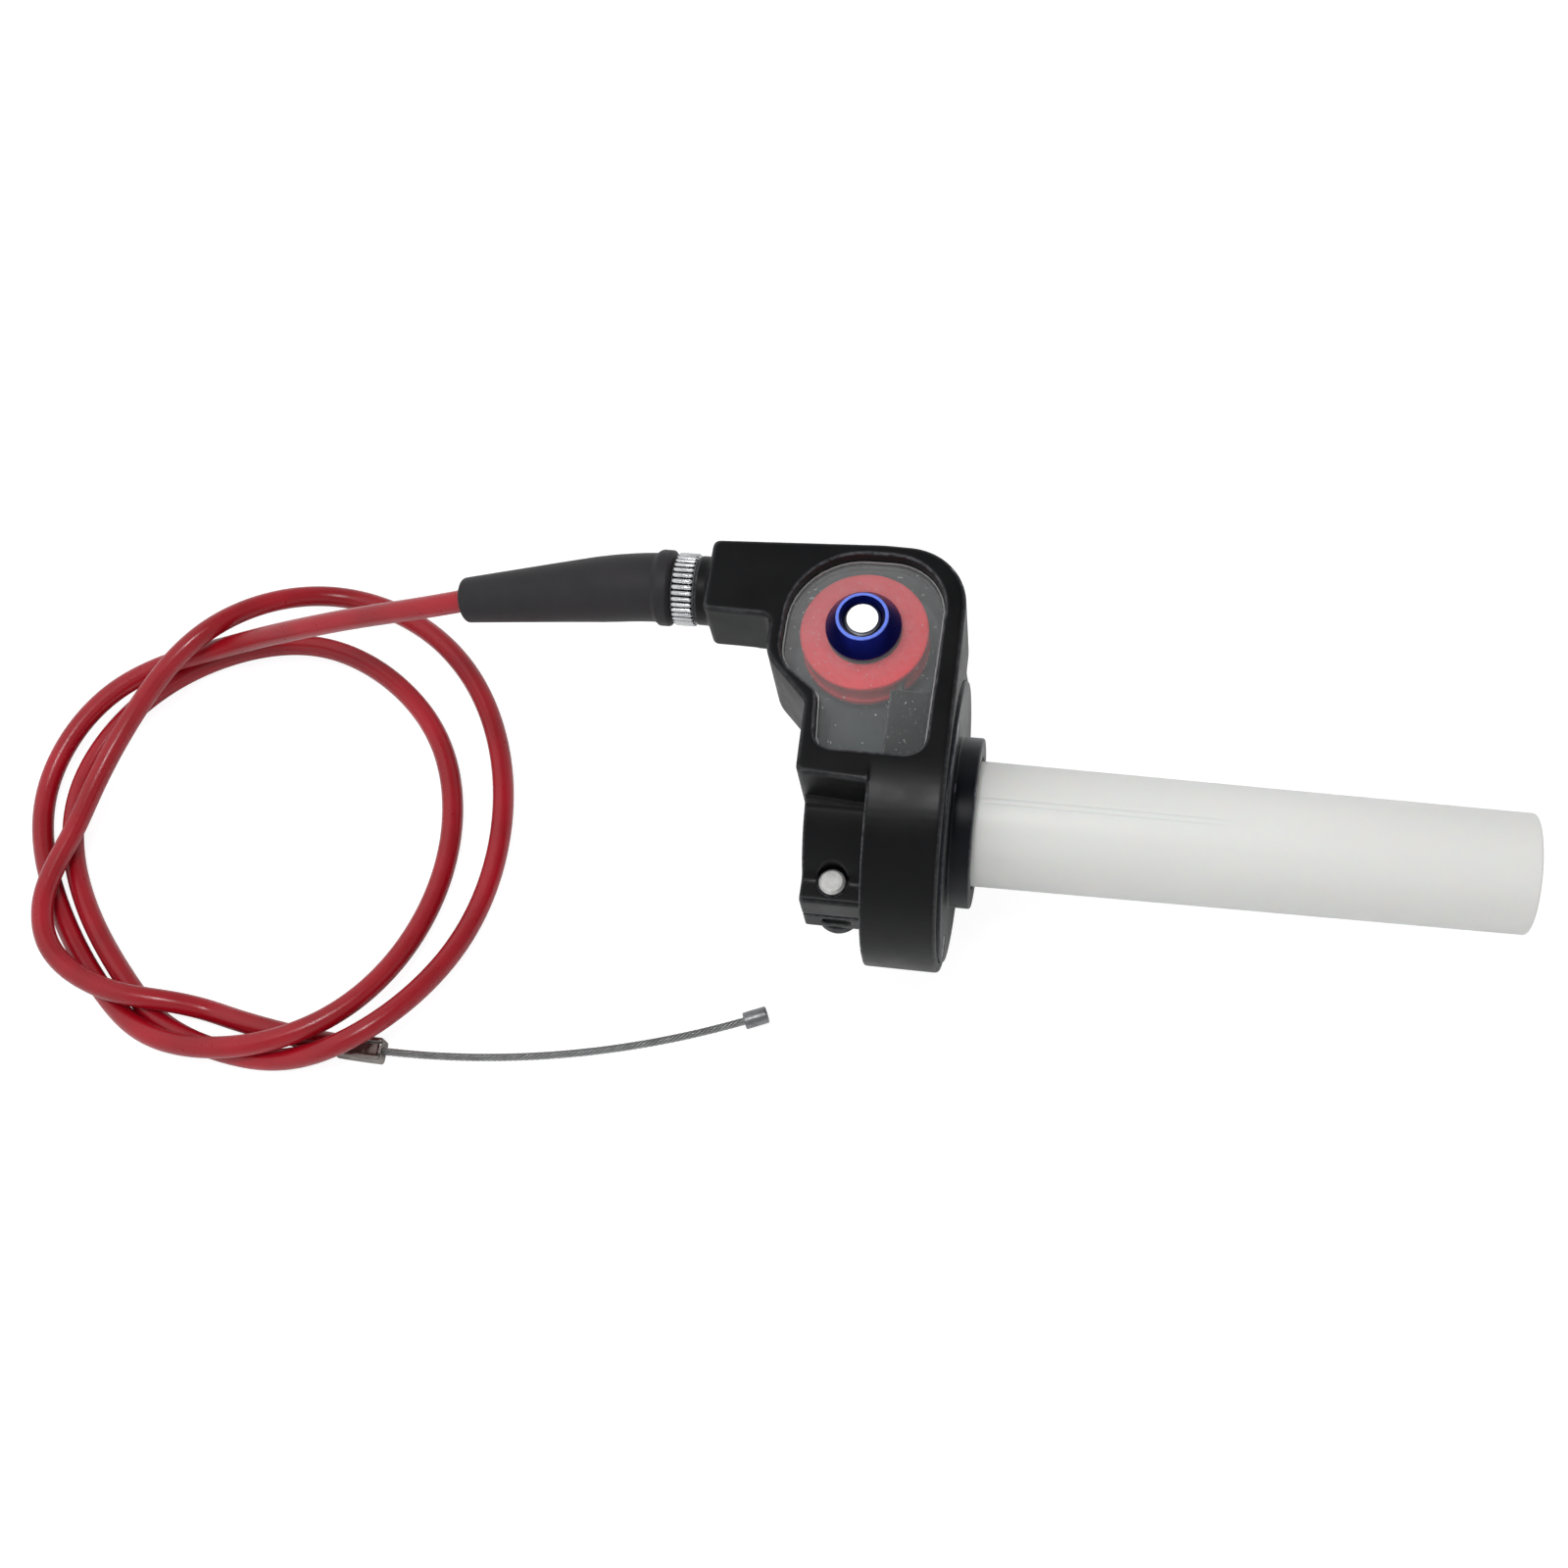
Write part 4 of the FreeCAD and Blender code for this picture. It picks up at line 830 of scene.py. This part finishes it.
# ---- adjuster, boot and cable -------------------------------------------------------------
def build_adjuster():
    """Straight knurl of round ribs, fading at both ends, with the threaded shank."""
    ribs = 36
    steps = ribs * 14
    depth = 0.62
    crest = 0.3
    length = KNURL_X - KNURL_END_X
    shank_end = KNURL_HIGH[0] - KNURL_END_X
    socket_depth = 3.0
    fade_in = [(0.0, KNURL_R - 0.95, 0.0), (0.12, KNURL_R - 0.75, 0.15), (0.25, KNURL_R - 0.5, 0.5),
               (0.42, KNURL_R - 0.34, 0.85), (0.7, KNURL_R - crest, 1.0)]
    fade_out = [(length - along, radius, share) for along, radius, share in reversed(fade_in)]
    rings = [(0.0, FERRULE_SOCKET_R, 0.0)] + fade_in + fade_out + [
        (length, SHANK_R, 0.0), (shank_end - 0.5, SHANK_R, 0.0), (shank_end, SHANK_R - 0.5, 0.0),
        (shank_end, WIRE_BORE_R, 0.0), (socket_depth, WIRE_BORE_R, 0.0),
        (socket_depth, FERRULE_SOCKET_R, 0.0),
    ]
    centre = np.array((KNURL_END_X, ADJUSTER_Y, WIRE_Z))
    verts = []
    for along, ring_r, share in rings:
        for k in range(steps):
            a = TAU * k / steps
            wave = abs(math.sin(a * ribs / 2))
            radius = ring_r + share * (crest - depth * (1 - wave))
            verts.append(centre + np.array((along, radius * math.cos(a), radius * math.sin(a))))
    faces = ring_faces(len(rings), steps, True)
    barrel = make_piece("adjuster_knurled", verts, faces, "chrome", "adjuster",
                        ("adjuster_barrel",), 80.0)
    groove_r = KNURL_R - depth / 2

    def in_groove(p):
        from_axis = math.hypot(p[1] - ADJUSTER_Y, p[2] - WIRE_Z)
        return KNURL_END_X + 0.3 < p[0] < KNURL_X - 0.3 and from_axis < groove_r

    # the grooves between the ribs are painted dark: painted shade in the hollows
    paint(barrel, "groove", in_groove)


def cable_points(step):
    """The cable's centre line: out of the adjuster, round the coil, into the crimped end."""
    points = [(-50.5 - 2.5 * i, ADJUSTER_Y, WIRE_Z) for i in range(4)]
    points.append((-75, ADJUSTER_Y - 0.2, 23.4))
    points.append((-102, 37.2, 16))
    for angle, radius, height in COIL_LIE:
        points.append(round_centre(COIL_CENTRE, radius, angle, STRAND_Z + height))
    jacket_arc = TAIL_FERRULE_START + 0.3 - TAIL_JACKET_START
    points.extend(tail_point(TAIL_JACKET_START + jacket_arc * i / 6) for i in range(7))
    return spline(points, step)


def build_jacket():
    """PVC sheath with an open end that shows its wall, swept round the coil."""
    wall = 0.5
    steps = 28
    points = cable_points(1.2)
    outer_verts, outer_faces = sweep_data(points, JACKET_R, steps, False)
    inner_verts, inner_faces = sweep_data(points, JACKET_R - wall, steps, False)
    count = len(outer_verts)
    faces = outer_faces + [tuple(i + count for i in reversed(f)) for f in inner_faces]
    last = (len(points) - 1) * steps
    for k in range(steps):
        n = (k + 1) % steps
        faces.append((k, k + count, n + count, n))
        faces.append((last + k, last + n, last + n + count, last + k + count))
    make_piece("cable_sheath", outer_verts + inner_verts, faces, "pvc", "cable_outer",
               ("cable_jacket",), 50.0)


BOOT_CORNERS = (
    (-49.8, 7.3, 0), (-50.1, 8.55, 0.6), (-52.7, 8.55, 0.9), (-53.7, 7.75, 0.6), (-63.0, 7.6, 6.0),
    (-67.0, 7.45, 3.0), (-100.0, 5.2, 0.6), (-100.45, 2.75, 0),
)
BOOT_STRAIGHT_X = -52.0
BOOT_SOCKET_X = -56.4
BOOT_TIP_X = BOOT_CORNERS[-1][0]


def path_at(path, x):
    """The point at a place along X of a path that runs towards minus X."""
    return np.array([np.interp(-x, -path[:, 0], path[:, k]) for k in range(3)])


def boot_axis(x, path):
    """The stiff boot runs straight to where the cable leaves it, after a short bend."""
    tip = path_at(path, BOOT_TIP_X)
    share = max(0.0, (BOOT_STRAIGHT_X - x) / (BOOT_STRAIGHT_X - BOOT_TIP_X))
    bend = 0.14
    droop = share - bend * (1 - math.exp(-share / bend)) * (1 - share)
    return np.array((x, ADJUSTER_Y + (tip[1] - ADJUSTER_Y) * droop, WIRE_Z + (tip[2] - WIRE_Z) * droop))


def build_boot():
    """Rubber boot: lip, bead, straight taper, and a mould line along its lower front."""
    longest_step = 0.6
    steps = 96
    seam_way = np.array((0, -0.78, 0.62))
    seam_height = 0.07
    seam_width = 0.09
    path = cable_points(0.25)[:400]
    stations, radii = np.array(rounded_loop(BOOT_CORNERS)).T
    fine = []
    for a, b in zip(stations, stations[1:]):
        pieces = max(1, int(abs(b - a) / longest_step))
        fine.extend(a + (b - a) * k / pieces for k in range(pieces))
    fine.append(stations[-1])
    outer_r = np.interp(-np.array(fine), -stations, radii)
    axis = np.array([boot_axis(x, path) for x in fine])
    verts = []
    for place, radius, side, up in zip(axis, outer_r, *path_frames(axis)):
        for direction in circle(np.zeros(3), side, up, 1.0, steps):
            off_seam = math.acos(float(np.clip(direction @ seam_way, -1, 1)))
            ridge = seam_height * max(0.0, 1 - off_seam / seam_width)
            verts.append(place + direction * (radius + ridge))
    bore = np.array([(x, ADJUSTER_Y, WIRE_Z) if x > BOOT_STRAIGHT_X else path_at(path, x) for x in fine])
    inside = list(zip(fine, bore, *path_frames(bore)))
    for x, place, side, up in reversed(inside):
        radius = FERRULE_SOCKET_R if x > BOOT_SOCKET_X else JACKET_R + 0.06
        verts.extend(circle(place, side, up, radius, steps))
    faces = ring_faces(2 * len(fine), steps, True)
    make_piece("rubber_boot", verts, faces, "rubber", "cable_outer", ("cable_boot",), 60.0)


def build_wire_tail():
    """Bare stranded wire: a core and seven outer strands laid round it."""
    strands = 7
    pitch = 9.0
    strand_r = 0.27
    lay_r = 0.63
    core_r = 0.45
    arc = TAIL_NIPPLE_START + 0.5 - WIRE_START
    length = math.radians(arc) * TAIL_R
    count = int(length / 0.4)
    shares = [i / count for i in range(count + 1)]
    verts = []
    faces = []
    core = np.array([tail_point(WIRE_START + arc * share) for share in shares])
    append_part(verts, faces, *sweep_data(core, core_r, 8))
    for s in range(strands):
        strand = []
        for share in shares:
            turn = TAU * (share * length / pitch + s / strands)
            angle = WIRE_START + arc * share
            strand.append(tail_point(angle, lay_r * math.cos(turn), lay_r * math.sin(turn)))
        append_part(verts, faces, *sweep_data(np.array(strand), strand_r, 10))
    make_piece("bare_wire", verts, faces, "wire", "wire_tail", ("inner_wire_tail",), 60.0)


def build_nipple():
    """A straight cast pin on the wire's end, in line with the wire."""
    half = math.radians(TAIL_NIPPLE_END - TAIL_NIPPLE_START) * TAIL_R / 2
    middle = (TAIL_NIPPLE_START + TAIL_NIPPLE_END) / 2
    turn = math.radians(middle)
    way = (-math.sin(turn), math.cos(turn), 0)
    lathe("wire_nipple", (
        (-half, 0, 0), (-half, NIPPLE_R, 0.3), (half, NIPPLE_R, 0.45), (half, 0, 0),
    ), tail_point(middle), way, "cast", "wire_tail", ("carb_end_nipple",), 64)


def build_crimp():
    """Crimped ferrule: two rolled rails, a channel with a pinch mark, and a bore for the wire."""
    span = TAIL_FERRULE_END - TAIL_FERRULE_START
    whole = math.radians(span) * TAIL_R
    half = 2.75
    rail = 1.55
    floor = -2.5
    top = 2.35
    channel = 1.35
    bore_r = 0.97
    bore_steps = 28
    stations = 60
    pinch_depth = 0.3
    closed_end = 1.1
    section = np.array(rounded_loop((
        (-half, floor, 0.5), (half, floor, 0.5), (half, top, 0.55), (rail, top, 0.4),
        (channel, channel, 0.25), (-channel, channel, 0.25), (-rail, top, 0.4), (-half, top, 0.55),
    )))
    bore = np.array(circle(np.zeros(2), np.array((1, 0)), np.array((0, 1)), bore_r, bore_steps))
    verts = []
    for i in range(stations + 1):
        share = i / stations
        angle = TAIL_FERRULE_START + span * share
        along = share * whole
        from_end = whole - along
        shrink = 1 - 0.12 * max(0.0, 1 - min(along, from_end) / 0.5) ** 2
        pinch = pinch_depth * math.exp(-((along - whole * 0.62) / 0.8) ** 2)
        fill = (top - channel - 0.35) * min(1.0, max(0.0, closed_end - from_end) / 0.5)
        for x, y in section:
            in_channel = abs(x) < 1.5 and y > 0.5
            rise = fill - pinch if in_channel else 0.0
            verts.append(tail_point(angle, x * shrink, y * shrink + rise))
        verts.extend(tail_point(angle, x, y) for x, y in bore)
    width = len(section)
    ring = width + bore_steps
    faces = []
    for near in range(0, stations * ring, ring):
        far = near + ring
        for k in range(width):
            n = (k + 1) % width
            faces.append((near + k, near + n, far + n, far + k))
        for k in range(width, ring):
            n = width + (k + 1 - width) % bore_steps
            faces.append((near + k, far + k, far + n, near + n))
    end_loops = [[Vector((x, y, 0)) for x, y in loop] for loop in (section, bore)]
    for a, b, c in tessellate_polygon(end_loops):
        faces.append((a, b, c))
        faces.append((stations * ring + a, stations * ring + c, stations * ring + b))
    make_piece("crimped_ferrule", verts, faces, "zinc", "cable_outer",
               ("carb_end_ferrule",), 45.0)


CAD_FINISH = {
    "side_cover_screws": "steel", "pulley_sleeve": "bronze", "pulley_washers": "zinc",
    "tube_thrust_washer": "black_nylon", "inner_wire_run": "wire", "cable_drum": "black_nylon",
    "drum_nipple": "zinc", "drum_wire_wrap": "wire", "throttle_end_ferrule": "steel",
    "cable_conduit": "wire", "cable_liner": "black_nylon", "inner_wire_coil": "wire",
}


def finish_cad_nodes():
    """Materials for the CAD nodes that stay as they are, mostly hidden inside."""
    for node, material in CAD_FINISH.items():
        mesh_object = NODES[node]
        if not mesh_object.material_slots:
            mesh_object.data.materials.append(None)
        for material_slot in mesh_object.material_slots:
            material_slot.material = MATERIALS[material]


# ---- floor, light and camera ------------------------------------------------------------
def build_floor():
    """White bench: lit like paper for the object, kept near white for the camera."""
    reach = 3.0
    z = (BENCH_Z - 0.05) * MM
    corners = [(-reach, -reach, z), (reach, -reach, z), (reach, reach, z), (-reach, reach, z)]
    mesh = bpy.data.meshes.new("floor")
    mesh.from_pydata(corners, [], [(0, 1, 2, 3)])
    floor = bpy.data.objects.new("floor", mesh)
    bpy.context.scene.collection.objects.link(floor)
    shader = Shader("pale_floor")
    tree = shader.tree
    tint = shader.noise(6.0, 2.0, 0.5)
    shader.link(shader.mix(tint, (0.84, 0.84, 0.84, 1), (0.87, 0.87, 0.87, 1)), shader.surface, "Base Color")
    shader.set(Roughness=0.8, Specular_IOR_Level=0.2)
    glow = tree.nodes.new("ShaderNodeEmission")
    light_path = tree.nodes.new("ShaderNodeLightPath")
    share = shader.ramp(light_path.outputs["Is Camera Ray"], 0.0, 1.0, 0.0, 0.72)
    glow.inputs["Strength"].default_value = 1.25
    mixer = tree.nodes.new("ShaderNodeMixShader")
    shader.link(share, mixer, "Fac")
    shader.link(shader.surface.outputs[0], mixer, 1)
    shader.link(glow.outputs[0], mixer, 2)
    shader.link(mixer.outputs[0], shader.output, "Surface")
    mesh.materials.append(shader.material)


def area_light(name, place, size, power):
    """A square soft light that faces the object's origin."""
    data = bpy.data.lights.new(name, "AREA")
    data.shape = "SQUARE"
    data.size = size
    data.energy = power
    light = bpy.data.objects.new(name, data)
    bpy.context.scene.collection.objects.link(light)
    light.location = place
    light.rotation_euler = (-light.location).to_track_quat("-Z", "Y").to_euler()
    return light


def build_world():
    """Studio surround: dark above the camera, pale towards the horizon and on the left."""
    world = bpy.data.worlds.new("studio")
    bpy.context.scene.world = world
    world.use_nodes = True
    tree = world.node_tree
    coords = tree.nodes.new("ShaderNodeTexCoord")
    split = tree.nodes.new("ShaderNodeSeparateXYZ")
    tree.links.new(coords.outputs["Generated"], split.inputs["Vector"])
    brighter = tree.nodes.new("ShaderNodeMath")
    brighter.operation = "MAXIMUM"
    slopes = (("Z", 0.5, 0.95, 0.48, 0.05), ("X", -0.06, -0.36, 0.0, 0.75))
    for term, (axis, start, end, start_strength, end_strength) in enumerate(slopes):
        slope = tree.nodes.new("ShaderNodeMapRange")
        slope.interpolation_type = "SMOOTHSTEP"
        slope.inputs["From Min"].default_value = start
        slope.inputs["From Max"].default_value = end
        slope.inputs["To Min"].default_value = start_strength
        slope.inputs["To Max"].default_value = end_strength
        tree.links.new(split.outputs[axis], slope.inputs["Value"])
        tree.links.new(slope.outputs["Result"], brighter.inputs[term])
    background = tree.nodes["Background"]
    background.inputs["Color"].default_value = (0.97, 0.985, 1.0, 1)
    tree.links.new(brighter.outputs[0], background.inputs["Strength"])


def build_light():
    """Two fill lights that reflections don't show, and a small one for the highlight on the drum."""
    build_world()
    overhead = area_light("overhead_fill", (-0.1, 0.25, 1.1), 1.2, 5.3)
    overhead.visible_glossy = False
    front = area_light("front_fill", (0.2, -0.9, 0.9), 0.8, 2.0)
    front.visible_glossy = False
    area_light("highlight_box", (-0.08, -0.09, 0.95), 0.13, 2.2)


def build_camera():
    """Looks down from the front at 66 degrees, a little turned and rolled."""
    data = bpy.data.cameras.new("camera")
    data.sensor_width = 36.0
    data.lens = 45.30
    camera = bpy.data.objects.new("camera", data)
    bpy.context.scene.collection.objects.link(camera)
    right = Vector((0.98440, 0.14027, -0.10620)).normalized()
    back = Vector((0.15222, -0.37639, 0.91387)).normalized()
    up = back.cross(right).normalized()
    place = Vector((45.59, -163.50, 410.05)) * MM
    turn = Matrix((right, up, back)).transposed().to_4x4()
    camera.matrix_world = Matrix.Translation(place) @ turn
    bpy.context.scene.camera = camera


def build_all():
    build_housing()
    build_side_cover()
    build_cone_nut()
    build_axle_bolt()
    build_pane()
    build_clamp_bolts()
    build_pulley()
    build_twist_tube()
    build_tube_rib()
    build_adjuster()
    build_jacket()
    build_boot()
    build_wire_tail()
    build_nipple()
    build_crimp()
    finish_cad_nodes()
    build_floor()
    build_light()
    build_camera()
    bpy.context.scene.view_settings.view_transform = "Standard"


build_all()
